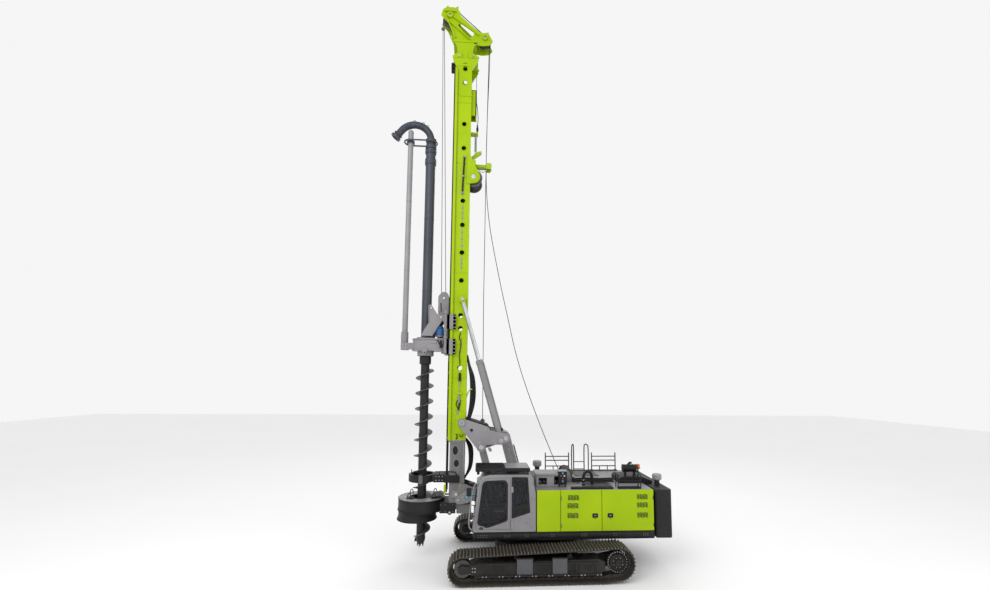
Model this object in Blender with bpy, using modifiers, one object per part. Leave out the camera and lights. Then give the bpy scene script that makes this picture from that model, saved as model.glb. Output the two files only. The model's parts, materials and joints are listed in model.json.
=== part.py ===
"""Rotary piling rig on a crawler base, set up for continuous-flight-auger work.

Frame: metres, +Z up. The machine faces -X, its left side is -Y, and z = 0 is the ground.
Everything is drawn about the slew axis, and the RIG empty then shifts the machine along X
so that the middle of its length is at the origin.
"""

import math

import bmesh
import bpy
from mathutils import Matrix, Vector

# ---------------------------------------------------------------- driving dimensions
SLEW_X = 0.53               # slew axis, from the middle of the machine's length
GAP = 0.0005                # between pieces that touch
RUN = 0.008                 # between pieces that move past each other

TRACK_GAUGE = 3.50          # between the middles of the two tracks
SHOE_WIDTH = 0.70
SHOE_COUNT = 60
BAND = 0.13                 # shoe plate and chain together
GROUSER = 0.04
IDLER = (-2.23, 0.42, 0.38)         # x, z and outer radius of the track around it
SPROCKET = (2.17, 0.53, 0.44)
CARRIERS = ((-0.70, 0.765, 0.10), (0.80, 0.80, 0.10))
ROLLERS = ((-1.85, 0.40, 0.36), (1.70, 0.40, 0.36))

SLEW_TOP = 1.014
SILL = (1.02, 1.25)                 # bottom and top of the deck frame
DECK_X = (-1.95, 3.45)
HALF_WIDTH = 1.48
PANEL_TOP = 2.43
PANEL = 0.05                        # thickness of doors and panels
PANEL_FACE = 1.50                   # outer faces of the side panels, from the centre
LEFT_DOORS = ((0.61, 1.85), (1.85, 3.43))       # along X, the front door first
RIGHT_DOORS = ((0.61, 1.54), (2.20, 3.43))      # the access ladder is between them
HOUSE_X = (-0.09, 3.44)
BALLAST_X = (3.49, 4.02)

CAB_Y = (-1.47, -0.58)
CAB_WALL = 0.05
CAB_SPLIT_X = -0.83                 # where the door meets the rear pillar

BOOM_FOOT = (-0.46, 2.03)           # pins of the parallelogram, x and z
LINK_FOOT = (-1.24, 1.76)
ARM = (-0.50, 1.81)                 # from a foot pin to its head pin
LUFF_FOOT = (-1.52, 1.42)
LUFF_ON_ARM = 0.42                  # the luff cylinder's head pin, as a share of the boom
LUFF_Y = 0.48

MAST_PIN = (-2.36, 4.32)
MAST_X = (-2.75, -2.24)
MAST_Y = 0.35
MAST_WALL = 0.02
MAST_BOTTOM = 1.60
MAST_JOINT = 3.74                   # between the grey foot section and the long section
MAST_TOP = 16.85
STAY_HEAD = (-2.42, 8.28)
STAY_FOOT = (-1.12, 3.77)
STAY_Y = 0.475
HEAD_SHEAVE = (-3.04, 18.52, 0.27)  # x, z and radius
REAR_SHEAVE = (-1.80, 17.72, 0.21)

DRILL_X = -3.62
AUGER_RADIUS = 0.30
AUGER_PITCH = 0.50
STEM_RADIUS = 0.14
PIPE_RADIUS = 0.165
TORQUE_BAR_X = -4.32
CATCHER_RADIUS = 0.73
CATCHER_Z = (1.93, 1.56)            # top and floor of the casing's drum
CATCHER_SKIRT_X = -3.75
CROWD_DRUM = (-2.12, 12.53, 0.22)
MAIN_DRUM = (-1.93, 2.06, 0.17)
AUX_DRUM = (1.05, 2.66, 0.15)

LIME = (0.40, 0.62, 0.005, 1.0)
GREY = (0.25, 0.24, 0.25, 1.0)
CHARCOAL = (0.025, 0.026, 0.03, 1.0)
STEEL = (0.10, 0.10, 0.11, 1.0)
CHROME = (0.75, 0.76, 0.78, 1.0)
GLASS = (0.05, 0.07, 0.08, 1.0)
BLUE = (0.02, 0.15, 0.40, 1.0)


# ---------------------------------------------------------------- scene and helpers
for old in list(bpy.data.objects):
    bpy.data.objects.remove(old, do_unlink=True)

PARTS = bpy.data.collections.new("rotary_piling_rig")
TOOLS = bpy.data.collections.new("cutters")
bpy.context.scene.collection.children.link(PARTS)
bpy.context.scene.collection.children.link(TOOLS)

RIG = bpy.data.objects.new("rig", None)
PARTS.objects.link(RIG)
RIG.location = (SLEW_X, 0, 0)


def keep(obj):
    """Files a new shape among the hidden helpers, in the machine's own place."""
    TOOLS.objects.link(obj)
    obj.parent = RIG
    obj.hide_render = True
    obj.display_type = "WIRE"
    return obj


def from_bmesh(name, shape):
    mesh = bpy.data.meshes.new(name)
    shape.to_mesh(mesh)
    shape.free()
    return keep(bpy.data.objects.new(name, mesh))


def block(name, low, high, bevel=0.0):
    """A box between two corners, its origin at its centre."""
    size = [b - a for a, b in zip(low, high)]
    shape = bmesh.new()
    bmesh.ops.create_cube(shape, size=1.0, matrix=Matrix.Diagonal((*size, 1.0)))
    obj = from_bmesh(name, shape)
    obj.location = [(a + b) / 2 for a, b in zip(low, high)]
    if bevel:
        add_bevel(obj, bevel)
    return obj


def add_bevel(obj, width, segments=1):
    rounding = obj.modifiers.new("bevel", "BEVEL")
    rounding.width = width
    rounding.segments = segments
    rounding.limit_method = "ANGLE"
    return obj


def drum(name, start, end, radius, sides=16, end_radius=None):
    """A cylinder or cone from one point to another."""
    start, end = Vector(start), Vector(end)
    run = end - start
    shape = bmesh.new()
    bmesh.ops.create_cone(shape, cap_ends=True, segments=sides, radius1=radius,
                          radius2=radius if end_radius is None else end_radius, depth=run.length)
    obj = from_bmesh(name, shape)
    obj.rotation_mode = "QUATERNION"
    obj.rotation_quaternion = run.to_track_quat("Z", "Y")
    obj.location = (start + end) / 2
    return obj


def cross_pin(name, place, half_length, radius, sides=16, y=0.0):
    """A cylinder across the machine at an (x, z) place."""
    x, z = place[0], place[1]
    return drum(name, (x, y - half_length, z), (x, y + half_length, z), radius, sides)


def as_mesh(curve_object, triangles=False):
    """The curve's evaluated shape as a mesh object with its caps welded on."""
    bpy.context.view_layer.update()
    graph = bpy.context.evaluated_depsgraph_get()
    mesh = bpy.data.meshes.new_from_object(curve_object.evaluated_get(graph))
    shape = bmesh.new()
    shape.from_mesh(mesh)
    bmesh.ops.remove_doubles(shape, verts=shape.verts, dist=0.00005)
    bmesh.ops.recalc_face_normals(shape, faces=shape.faces)
    if triangles:
        bmesh.ops.triangulate(shape, faces=shape.faces)
    shape.to_mesh(mesh)
    shape.free()
    name, place = curve_object.name, curve_object.matrix_basis.copy()
    bpy.data.objects.remove(curve_object, do_unlink=True)
    obj = keep(bpy.data.objects.new(name, mesh))
    obj.matrix_basis = place
    return obj


def flat_curve(name, outlines, thickness):
    curve = bpy.data.curves.new(name, "CURVE")
    curve.dimensions = "2D"
    curve.fill_mode = "BOTH"
    curve.extrude = thickness / 2
    for outline in outlines:
        spline = curve.splines.new("POLY")
        spline.points.add(len(outline) - 1)
        for point, (u, v) in zip(spline.points, outline):
            point.co = (u, v, 0.0, 1.0)
        spline.use_cyclic_u = True
    return keep(bpy.data.objects.new(name, curve))


def plate(name, outlines, y_low, y_high):
    """A flat piece standing along the machine: outlines are (x, z) loops, holes included."""
    obj = flat_curve(name, outlines, y_high - y_low)
    obj.rotation_euler = (math.radians(90), 0, 0)
    obj.location = (0, (y_low + y_high) / 2, 0)
    return as_mesh(obj)


def slab(name, outlines, z_low, z_high):
    """A flat piece lying level: outlines are (x, y) loops."""
    obj = flat_curve(name, outlines, z_high - z_low)
    obj.location = (0, 0, (z_low + z_high) / 2)
    return as_mesh(obj)


def round_curve(name, points, radius, sides=8):
    """A curve with a round section bent through the points."""
    curve = bpy.data.curves.new(name, "CURVE")
    curve.dimensions = "3D"
    curve.bevel_depth = radius
    curve.bevel_resolution = sides // 2 - 2
    curve.use_fill_caps = True
    spline = curve.splines.new("POLY")
    spline.points.add(len(points) - 1)
    for point, place in zip(spline.points, points):
        point.co = (*place, 1.0)
    return keep(bpy.data.objects.new(name, curve))


def pipe(name, points, radius, sides=8):
    """A round bar or tube bent through the points, ready to be joined or cut."""
    return as_mesh(round_curve(name, points, radius, sides), triangles=True)


def turned(name, profile, centre, steps=24):
    """A closed (radius, z) profile turned about the vertical through centre."""
    shape = bmesh.new()
    ring = [shape.verts.new((radius, 0, z)) for radius, z in profile]
    for first, second in zip(ring, ring[1:] + ring[:1]):
        shape.edges.new((first, second))
    obj = from_bmesh(name, shape)
    screw = obj.modifiers.new("turn", "SCREW")
    screw.steps = steps
    screw.render_steps = steps
    screw.use_merge_vertices = True
    screw.merge_threshold = 0.00005
    obj.location = (*centre, 0)
    return obj


def circle(x, z, radius, sides=16):
    return [(x + radius * math.cos(2 * math.pi * i / sides),
             z + radius * math.sin(2 * math.pi * i / sides)) for i in range(sides)]


def hull(points):
    """The convex outline around a set of points, counterclockwise."""
    def turn(a, b, c):
        return (b[0] - a[0]) * (c[1] - a[1]) - (b[1] - a[1]) * (c[0] - a[0])

    loop = []
    ordered = sorted(set(points))
    for chain in (ordered, ordered[::-1]):
        side = []
        for point in chain:
            while len(side) > 1 and turn(side[-2], side[-1], point) <= 1e-9:
                side.pop()
            side.append(point)
        loop += side[:-1]
    return loop


def combine(obj, operation, others):
    for other in others:
        change = obj.modifiers.new(other.name, "BOOLEAN")
        change.operation = operation
        change.solver = "EXACT"
        change.object = other
    return obj


def join(obj, *others):
    return combine(obj, "UNION", others)


def cut(obj, *others):
    return combine(obj, "DIFFERENCE", others)


def rig_place(obj):
    """Where an empty is, in the machine's own coordinates."""
    place = Vector()
    while obj is not RIG:
        place += obj.location
        obj = obj.parent
    return place


def attach(obj, parent):
    """Hangs an object that is placed in the machine's coordinates under an empty."""
    obj.parent = parent
    obj.location = Vector(obj.location) - rig_place(parent)


def axis_empty(name, place, parent):
    """An empty on a joint's axis, which carries the pieces that turn or slide there."""
    empty = bpy.data.objects.new(name, None)
    empty.empty_display_size = 0.2
    PARTS.objects.link(empty)
    empty.location = place
    attach(empty, parent)
    return empty


def finish(obj, colour, parent, roughness=0.45, metallic=0.0):
    """Makes a shaped object one of the parts: its material, its collection and its parent."""
    material = bpy.data.materials.new(obj.name)
    material.use_nodes = True
    shader = material.node_tree.nodes["Principled BSDF"]
    shader.inputs["Base Color"].default_value = colour
    shader.inputs["Roughness"].default_value = roughness
    shader.inputs["Metallic"].default_value = metallic
    obj.data.materials.clear()
    obj.data.materials.append(material)
    TOOLS.objects.unlink(obj)
    PARTS.objects.link(obj)
    obj.hide_render = False
    obj.display_type = "TEXTURED"
    if obj.type == "MESH":
        obj.data.shade_smooth()
        obj.data.set_sharp_from_angle(angle=math.radians(35))
    attach(obj, parent)
    return obj


# ---------------------------------------------------------------- bodies and joint axes
def at(place, y=0.0):
    return (place[0], y, place[1])


def beyond(foot):
    return (foot[0] + ARM[0], foot[1] + ARM[1])


BOOM_HEAD = beyond(BOOM_FOOT)
LINK_HEAD = beyond(LINK_FOOT)
LUFF_HEAD = (BOOM_FOOT[0] + LUFF_ON_ARM * ARM[0], BOOM_FOOT[1] + LUFF_ON_ARM * ARM[1])

SLEW = axis_empty("slew_axis", (0, 0, SLEW_TOP), RIG)
CAB_DOOR = axis_empty("cab_door_axis", (CAB_SPLIT_X, CAB_Y[0], 2.0), SLEW)
BOOM = axis_empty("boom_axis", at(BOOM_FOOT), SLEW)
LINK = axis_empty("link_axis", at(LINK_FOOT), SLEW)
LUFF_BARREL = axis_empty("luff_axis", at(LUFF_FOOT), SLEW)
LUFF_ROD = axis_empty("luff_rod_axis", at(LUFF_HEAD), LUFF_BARREL)
TRIPOD = axis_empty("tripod_axis", at(BOOM_HEAD), BOOM)
STAY_BARREL = axis_empty("stay_axis", at(STAY_FOOT), TRIPOD)
STAY_ROD = axis_empty("stay_rod_axis", at(STAY_HEAD), STAY_BARREL)
MAST = axis_empty("mast_axis", at(MAST_PIN), TRIPOD)
CROWD = axis_empty("crowd_slide", (DRILL_X, 0, 7.0), MAST)
DRILL = axis_empty("drill_axis", (DRILL_X, 0, 7.0), CROWD)


# ---------------------------------------------------------------- crawler base
def track_path():
    """The shoe plates' outer face as a belt around all the wheels."""
    wheels = (IDLER, SPROCKET, *CARRIERS, *ROLLERS)
    return hull([point for x, z, radius in wheels for point in circle(x, z, radius, 96)])


def along(loop, count):
    """Points spaced evenly along a closed loop, each with its outward direction."""
    ends = list(zip(loop, loop[1:] + loop[:1]))
    lengths = [math.dist(a, b) for a, b in ends]
    step = sum(lengths) / count
    found, travelled, index = [], 0.0, 0
    for i in range(count):
        while travelled + lengths[index] < i * step:
            travelled += lengths[index]
            index += 1
        (ax, az), (bx, bz) = ends[index]
        share = (i * step - travelled) / lengths[index]
        outward = ((bz - az) / lengths[index], (ax - bx) / lengths[index])
        found.append(((ax + share * (bx - ax), az + share * (bz - az)), outward))
    return found


def offset(sample, distance):
    (x, z), (nx, nz) = sample
    return (x + nx * distance, z + nz * distance)


def track(side, y):
    samples = along(track_path(), SHOE_COUNT * 4)
    rise = (0.0, GROUSER, GROUSER, 0.0)
    outer = [offset(sample, rise[i % 4]) for i, sample in enumerate(samples)]
    inner = [offset(sample, -BAND) for sample in samples[::2]]
    obj = plate(f"track_{side}", [outer, inner], y - SHOE_WIDTH / 2, y + SHOE_WIDTH / 2)
    finish(obj, STEEL, RIG, 0.7, 0.6)


def wheel(name, place, radius, y, half_width, sides=12):
    return cross_pin(name, place, half_width, radius, sides, y)


def track_frame(side, y):
    outline = [(-2.02, 0.33), (-1.86, 0.24), (1.62, 0.24), (1.78, 0.36), (1.78, 0.58),
               (1.60, 0.66), (-1.70, 0.60), (-2.02, 0.54)]
    frame = plate(f"track_frame_{side}", [outline], y - 0.25, y + 0.25)
    lower = [wheel(f"{side}_roller_{i}", (-1.62 + 0.46 * i, 0.277), 0.10, y, 0.20)
             for i in range(8)]
    upper = []
    for i, (x, z, radius) in enumerate(CARRIERS):
        top = z + radius - BAND - 0.012
        upper.append(wheel(f"{side}_carrier_{i}", (x, top - 0.075), 0.075, y, 0.12))
        upper.append(block(f"{side}_carrier_foot_{i}", (x - 0.06, y - 0.06, 0.5),
                           (x + 0.06, y + 0.06, top - 0.09)))
    cheeks = plate(f"{side}_idler_cheeks", [hull(circle(IDLER[0], IDLER[1], 0.12)
                                                 + [(-1.95, 0.35), (-1.95, 0.50)])], y - 0.25, y + 0.25)
    slot = block(f"{side}_idler_slot", (-2.5, y - 0.15, 0.0), (-2.03, y + 0.15, 0.9))
    idler = wheel(f"{side}_idler", IDLER, IDLER[2] - BAND - 0.014, y, 0.14, 24)
    axle = wheel(f"{side}_idler_axle", IDLER, 0.05, y, 0.2)
    inward = -math.copysign(1, y)
    drive = plate(f"{side}_drive_arm",
                  [hull(circle(SPROCKET[0], SPROCKET[1], 0.20) + [(1.6, 0.28), (1.6, 0.62)])],
                  *sorted((y + inward * 0.14, y + inward * 0.25)))
    join(frame, *lower, *upper, cheeks)
    cut(frame, slot)
    join(frame, axle, idler, drive)
    finish(frame, CHARCOAL, RIG, 0.6, 0.3)


def sprocket(side, y):
    """The toothed drive wheel with its bolted ring and hub cover, on the frame's outer side."""
    inward = -math.copysign(1, y)
    teeth = []
    reach = SPROCKET[2] - BAND - 0.014
    for i in range(18 * 4):
        angle = 2 * math.pi * i / (18 * 4)
        radius = reach if i % 4 in (1, 2) else reach - 0.035
        teeth.append((SPROCKET[0] + radius * math.cos(angle), SPROCKET[1] + radius * math.sin(angle)))
    face = y + inward * 0.13
    ring = plate(f"sprocket_{side}", [teeth], y - 0.05, y + 0.05)
    hub = drum(f"{side}_hub", (SPROCKET[0], face, SPROCKET[1]),
               (SPROCKET[0], y - inward * 0.20, SPROCKET[1]), 0.19, 20)
    cap = drum(f"{side}_hub_cap", (SPROCKET[0], y - inward * 0.15, SPROCKET[1]),
               (SPROCKET[0], y - inward * 0.26, SPROCKET[1]), 0.12, 20)
    join(ring, hub, cap)
    finish(ring, STEEL, RIG, 0.5, 0.7)


def car_body():
    centre = slab("car_body", [[(-1.25, -0.95), (-0.85, -1.32), (0.85, -1.32), (1.25, -0.95),
                                (1.25, 0.95), (0.85, 1.32), (-0.85, 1.32), (-1.25, 0.95)]], 0.40, 0.86)
    inner_face = TRACK_GAUGE / 2 - 0.25 - GAP
    beams = [block(f"axle_beam_{i}", (x - 0.20, -inner_face, 0.36), (x + 0.20, inner_face, 0.62))
             for i, x in enumerate((-0.80, 0.80))]
    join(centre, *beams)
    well = drum("centre_well", (0, 0, 0.30), (0, 0, 1.0), 0.35, 24)
    cut(centre, well)
    finish(centre, CHARCOAL, RIG, 0.6, 0.3)


def slew_ring():
    low, high = 0.86 + GAP, SLEW_TOP
    ring = turned("slew_ring", [(0.78, high - 0.03), (0.78, low), (0.45, low), (0.45, high), (0.75, high)],
                  (0, 0), 32)
    finish(ring, STEEL, RIG, 0.4, 0.8)


# ---------------------------------------------------------------- upper structure
def platform():
    low, high = SILL
    front, rear = DECK_X
    deck = slab("platform", [[(front, -HALF_WIDTH), (rear, -HALF_WIDTH), (rear, HALF_WIDTH),
                              (front, HALF_WIDTH)]], low, high)
    add_bevel(deck, 0.02)
    bays = [block(f"deck_bay_{i}", (x0, y0, low - 0.1), (x1, y1, high - 0.05))
            for i, (x0, x1, y0, y1) in enumerate([
                (-1.75, -1.00, -1.35, -0.50), (-1.75, -1.00, 0.50, 1.35),
                (1.00, 3.30, -1.35, -0.50), (1.00, 3.30, 0.50, 1.35), (1.00, 3.30, -0.38, 0.38)])]
    cut(deck, *bays)
    finish(deck, CHARCOAL, SLEW, 0.5)


def counterweight():
    front, rear = BALLAST_X
    outline = [(front, -HALF_WIDTH), (rear - 0.06, -HALF_WIDTH), (rear, -HALF_WIDTH + 0.10),
               (rear, HALF_WIDTH - 0.10), (rear - 0.06, HALF_WIDTH), (front, HALF_WIDTH)]
    weight = slab("counterweight", [outline], 1.02, PANEL_TOP - 0.01)
    add_bevel(weight, 0.03)
    finish(weight, CHARCOAL, SLEW, 0.5)


def engine():
    finish(block("engine_block", (1.60, -0.45, SILL[1] + GAP), (2.95, 0.45, 2.15), 0.04),
           STEEL, SLEW, 0.6, 0.5)


def engine_house():
    """Roof, end walls and door posts around the open engine bay."""
    front, rear = HOUSE_X
    inside = PANEL_FACE - PANEL - RUN
    floor = SILL[1] + GAP
    house = block("engine_house", (front, -inside, floor), (rear, inside, PANEL_TOP))
    add_bevel(house, 0.015)
    wall, post = 0.05, 0.04
    (start, middle), _ = LEFT_DOORS
    left_bays = [(front + wall, start - post), (start + post, middle - post), (middle + post, rear - wall)]
    (_, ladder_front), (ladder_rear, _) = RIGHT_DOORS
    right_bays = [(front + wall, start - post), (start + post, ladder_front - post),
                  (ladder_rear + post, rear - wall)]
    room = block("bay_room", (front + wall, -inside + 0.06, floor - 0.1),
                 (rear - wall, inside - 0.06, PANEL_TOP - 0.04))
    mouths = [block(f"bay_mouth_{sign}_{x0}", (x0, min(0, sign * 1.6), floor - 0.1),
                    (x1, max(0, sign * 1.6), PANEL_TOP - 0.06))
              for sign, bays in ((-1, left_bays), (1, right_bays)) for x0, x1 in bays]
    well = block("winch_well", (0.70, -0.42, PANEL_TOP - 0.2), (1.42, 0.42, PANEL_TOP + 0.1))
    ladder_panel = block("ladder_panel", (ladder_front, inside - 0.03, floor + 0.005),
                         (ladder_rear, PANEL_FACE, PANEL_TOP - 0.003))
    cut(house, room, *mouths, well)
    join(house, ladder_panel)
    finish(house, GREY, SLEW, 0.5)


def side_panel(side, sign):
    y = sorted((sign * (PANEL_FACE - PANEL), sign * PANEL_FACE))
    panel = block(f"{side}_front_panel", (HOUSE_X[0] + 0.002, y[0], SILL[1] + 0.006),
                  (LEFT_DOORS[0][0] - 0.006, y[1], PANEL_TOP))
    finish(panel, LIME, SLEW, 0.35)


def house_door(side, sign, place):
    """One engine house door, hung from the outer edge of its post."""
    doors = LEFT_DOORS if side == "left" else RIGHT_DOORS
    start, end = doors[0] if place == "front" else doors[1]
    hinge_x = start if place == "front" else end
    y = sorted((sign * (PANEL_FACE - PANEL), sign * PANEL_FACE))
    axis = axis_empty(f"{side}_{place}_door_axis", (hinge_x, sign * (PANEL_FACE + 0.012), 1.8), SLEW)
    door = block(f"{side}_{place}_door", (start + 0.006, y[0], SILL[1] + 0.008),
                 (end - 0.006, y[1], PANEL_TOP))
    finish(door, LIME, axis, 0.35)


def front_tank():
    """The tank and step box at the front right, across from the cab."""
    tank = block("front_tank", (-1.85, 0.72, SILL[1] + GAP), (-0.16, HALF_WIDTH, 2.25), 0.05)
    finish(tank, GREY, SLEW, 0.45)


def boom_bracket():
    """The pair of upright plates that hold the boom, the front link and the luff cylinders."""
    outline = hull(circle(*BOOM_FOOT, 0.20) + circle(*LINK_FOOT, 0.17)
                   + circle(*LUFF_FOOT, 0.11, 24) + [(-1.70, SILL[1] + GAP), (-0.20, SILL[1] + GAP)])
    hole = circle(*LUFF_FOOT, 0.056)
    near = plate("boom_bracket", [outline, hole], -0.36, -0.30)
    far = plate("bracket_far", [outline, hole], 0.30, 0.36)
    base = block("bracket_base", (-1.66, -0.33, SILL[1] + GAP), (-0.24, 0.33, SILL[1] + 0.05))
    pins = [cross_pin(f"bracket_pin_{i}", place, 0.385, 0.060)
            for i, place in enumerate((BOOM_FOOT, LINK_FOOT))]
    join(near, base, far, *pins)
    finish(near, GREY, SLEW, 0.45)


def deck_cabinet():
    """The grey valve cabinet behind the cab, with an overhanging lid."""
    low = PANEL_TOP + GAP
    body = block("deck_cabinet", (-0.06, -1.05, low), (0.86, -0.50, 2.80), 0.01)
    lid = block("cabinet_lid", (-0.09, -1.10, 2.78), (0.90, -0.46, 2.84), 0.008)
    mouths = [block("cabinet_mouth_a", (0.02, -1.2, low + 0.06), (0.28, -0.75, 2.70)),
              block("cabinet_mouth_b", (0.50, -1.2, low + 0.06), (0.76, -0.75, 2.74))]
    join(body, lid)
    cut(body, *mouths)
    finish(body, GREY, SLEW, 0.45)


def muffler():
    """The exhaust silencer lying on its hood, with the outlet pipe."""
    low = PANEL_TOP + GAP
    hood = block("muffler", (2.62, -0.62, low), (3.38, 0.20, 2.70), 0.03)
    can = drum("muffler_can", (2.84, -0.25, 2.82), (3.32, -0.25, 2.82), 0.13, 28)
    saddle = block("muffler_saddle", (2.90, -0.32, 2.60), (3.26, -0.18, 2.80))
    join(hood, saddle, can)
    finish(hood, CHARCOAL, SLEW, 0.5)


def deck_rails():
    """Guard rails along the right edge of the roof, with the ladder between its tall hoops."""
    y, low, tube = 1.40, PANEL_TOP + GAP, 0.022
    sill = block("deck_rails", (0.55, y - 0.03, low), (3.22, y + 0.03, low + 0.04))
    pieces = []
    for i, (x0, x1) in enumerate(((0.60, 1.45), (2.29, 3.16))):
        for x in (x0, x1):
            pieces.append(drum(f"rail_post_{i}_{x}", (x, y, low + 0.02), (x, y, 3.09), tube, 8))
        for z in (2.80, 2.93):
            pieces.append(drum(f"rail_bar_{i}_{z}", (x0 - 0.004, y + 0.001, z), (x1 + 0.004, y + 0.001, z),
                               tube * 0.8, 7))
    for x in (1.61, 2.13):
        hoop = [(x, y + 0.002, low + 0.01), (x, y + 0.002, 3.30), (x, y + 0.04, 3.38), (x, y + 0.10, 3.40),
                (x, y + 0.16, 3.36), (x, y + 0.18, 3.28), (x, y + 0.18, 1.35)]
        pieces.append(pipe(f"ladder_hoop_{x}", hoop, tube, 8))
    for i in range(5):
        z = 1.45 + 0.28 * i
        pieces.append(drum(f"ladder_rung_{i}", (1.606, y + 0.181, z), (2.134, y + 0.181, z), 0.017, 7))
    join(sill, *pieces)
    finish(sill, STEEL, SLEW, 0.5, 0.4)


# ---------------------------------------------------------------- cab
CAB_OUTLINE = [(-0.12, 1.26), (-0.12, 2.36), (-0.25, 2.84), (-0.30, 2.88), (-1.47, 2.88), (-1.69, 2.83),
               (-1.81, 2.56), (-1.955, 1.30), (-1.93, 1.26)]


def inset(outline, distance):
    """A convex outline moved inwards by the same distance all round."""
    count = len(outline)
    area = sum(a[0] * b[1] - b[0] * a[1] for a, b in zip(outline, outline[1:] + outline[:1]))
    sign = 1 if area > 0 else -1
    moved = []
    for i in range(count):
        before, here, after = outline[i - 1], outline[i], outline[(i + 1) % count]
        u = (Vector(here) - Vector(before)).normalized()
        v = (Vector(after) - Vector(here)).normalized()
        nu, nv = Vector((-u.y, u.x)) * sign, Vector((-v.y, v.x)) * sign
        bisector = (nu + nv).normalized()
        moved.append(tuple(Vector(here) + bisector * (distance / bisector.dot(nu))))
    return moved


DOOR_OUTLINE = [(-0.86, 1.33), (-0.86, 2.76), (-0.90, 2.80), (-1.60, 2.79), (-1.70, 2.70), (-1.765, 2.55),
                (-1.89, 1.50), (-1.89, 1.38), (-1.85, 1.33)]
DOOR_WINDOW = [(-0.97, 1.59), (-0.97, 2.64), (-1.04, 2.71), (-1.61, 2.69), (-1.68, 2.62), (-1.82, 1.49),
               (-1.55, 1.40)]
SIDE_WINDOW = [(-0.34, 1.85), (-0.40, 2.76), (-0.79, 2.76), (-0.79, 1.70)]
RIGHT_WINDOW = [(-0.34, 1.80), (-0.40, 2.70), (-1.64, 2.70), (-1.70, 2.62), (-1.84, 1.80)]
FRONT_WINDOW_Z = (1.62, 2.50)
REAR_WINDOW_Z = (1.80, 2.30)


def cab():
    outer, inner = CAB_OUTLINE, inset(CAB_OUTLINE, CAB_WALL)
    low_y, high_y = CAB_Y
    shell = plate("cab_shell", [outer], low_y, high_y)
    room = plate("cab_room", [inner], low_y + CAB_WALL, high_y - CAB_WALL)
    doorway = plate("cab_doorway", [DOOR_OUTLINE], low_y - 0.1, low_y + CAB_WALL + 0.05)
    side = plate("cab_left_window", [SIDE_WINDOW], low_y - 0.1, low_y + CAB_WALL + 0.05)
    right = plate("cab_right_window", [RIGHT_WINDOW], high_y - CAB_WALL - 0.05, high_y + 0.1)
    front = block("cab_front_window", (-2.3, low_y + 0.09, FRONT_WINDOW_Z[0]),
                  (-1.62, high_y - 0.09, FRONT_WINDOW_Z[1]))
    rear = block("cab_rear_window", (-0.3, low_y + 0.12, REAR_WINDOW_Z[0]), (0.1, high_y - 0.12, REAR_WINDOW_Z[1]))
    cut(shell, room, doorway, side, right, front, rear)
    finish(shell, GREY, SLEW, 0.4)

    door = plate("cab_door", [inset(DOOR_OUTLINE, 0.006), DOOR_WINDOW], low_y, low_y + CAB_WALL)
    finish(door, GREY, CAB_DOOR, 0.4)
    pane = plate("cab_door_glass", [inset(DOOR_WINDOW, GAP)], low_y + 0.02, low_y + 0.028)
    finish(pane, GLASS, CAB_DOOR, 0.05)

    left = plate("cab_left_glass", [inset(SIDE_WINDOW, GAP)], low_y + 0.02, low_y + 0.028)
    finish(left, GLASS, SLEW, 0.05)
    right_pane = plate("cab_right_glass", [inset(RIGHT_WINDOW, GAP)], high_y - 0.028, high_y - 0.02)
    finish(right_pane, GLASS, SLEW, 0.05)
    rear_pane = block("cab_rear_glass", (-0.148, low_y + 0.12 + GAP, REAR_WINDOW_Z[0] + GAP),
                      (-0.14, high_y - 0.12 - GAP, REAR_WINDOW_Z[1] - GAP))
    finish(rear_pane, GLASS, SLEW, 0.05)
    windshield()


def windshield():
    """The sloping front pane, set in the middle of the front wall."""
    top, bottom = (Vector(corner) for corner in CAB_OUTLINE[6:8])
    slope = (top - bottom).normalized()
    inward = Vector((slope.y, -slope.x))
    low_z, high_z = FRONT_WINDOW_Z[0] + GAP, FRONT_WINDOW_Z[1] - GAP

    def on_face(z, depth):
        """The point at height z on a plane set back into the wall by depth."""
        start = bottom + inward * depth
        return (start.x + (z - start.y) * slope.x / slope.y, z)

    outline = [on_face(low_z, 0.018), on_face(low_z, 0.028), on_face(high_z, 0.028), on_face(high_z, 0.018)]
    pane = plate("windshield", [outline], CAB_Y[0] + 0.09 + GAP, CAB_Y[1] - 0.09 - GAP)
    finish(pane, GLASS, SLEW, 0.05)


def seat():
    floor = CAB_OUTLINE[0][1] + CAB_WALL + GAP
    base = block("operator_seat", (-1.10, -1.28, 1.62), (-0.62, -0.80, 1.76), 0.04)
    back = block("seat_back", (-0.72, -1.26, 1.70), (-0.58, -0.82, 2.36), 0.05)
    stand = block("seat_stand", (-1.00, -1.20, floor), (-0.70, -0.88, 1.66))
    boxes = [block(f"seat_console_{i}", (-1.25, y - 0.07, 1.62), (-0.75, y + 0.07, 1.92), 0.02)
             for i, y in enumerate((-1.335, -0.745))]
    join(base, back, stand, *boxes)
    finish(base, BLUE, SLEW, 0.8)


def roof_guard():
    """The falling-object guard standing on four short feet above the cab roof."""
    tray = block("roof_guard", (-1.91, CAB_Y[0] - 0.01, 2.97), (-0.29, CAB_Y[1] + 0.01, 3.07), 0.015)
    hollow = block("guard_hollow", (-1.86, CAB_Y[0] + 0.04, 2.80), (-0.34, CAB_Y[1] - 0.04, 3.05))
    cut(tray, hollow)
    feet = [block(f"guard_foot_{i}", (x - 0.03, y - 0.03, 2.88 + GAP), (x + 0.03, y + 0.03, 3.05))
            for i, (x, y) in enumerate([(-1.43, CAB_Y[0] + 0.03), (-0.36, CAB_Y[0] + 0.03),
                                        (-1.43, CAB_Y[1] - 0.03), (-0.36, CAB_Y[1] - 0.03)])]
    join(tray, *feet)
    finish(tray, CHARCOAL, SLEW, 0.5)


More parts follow.
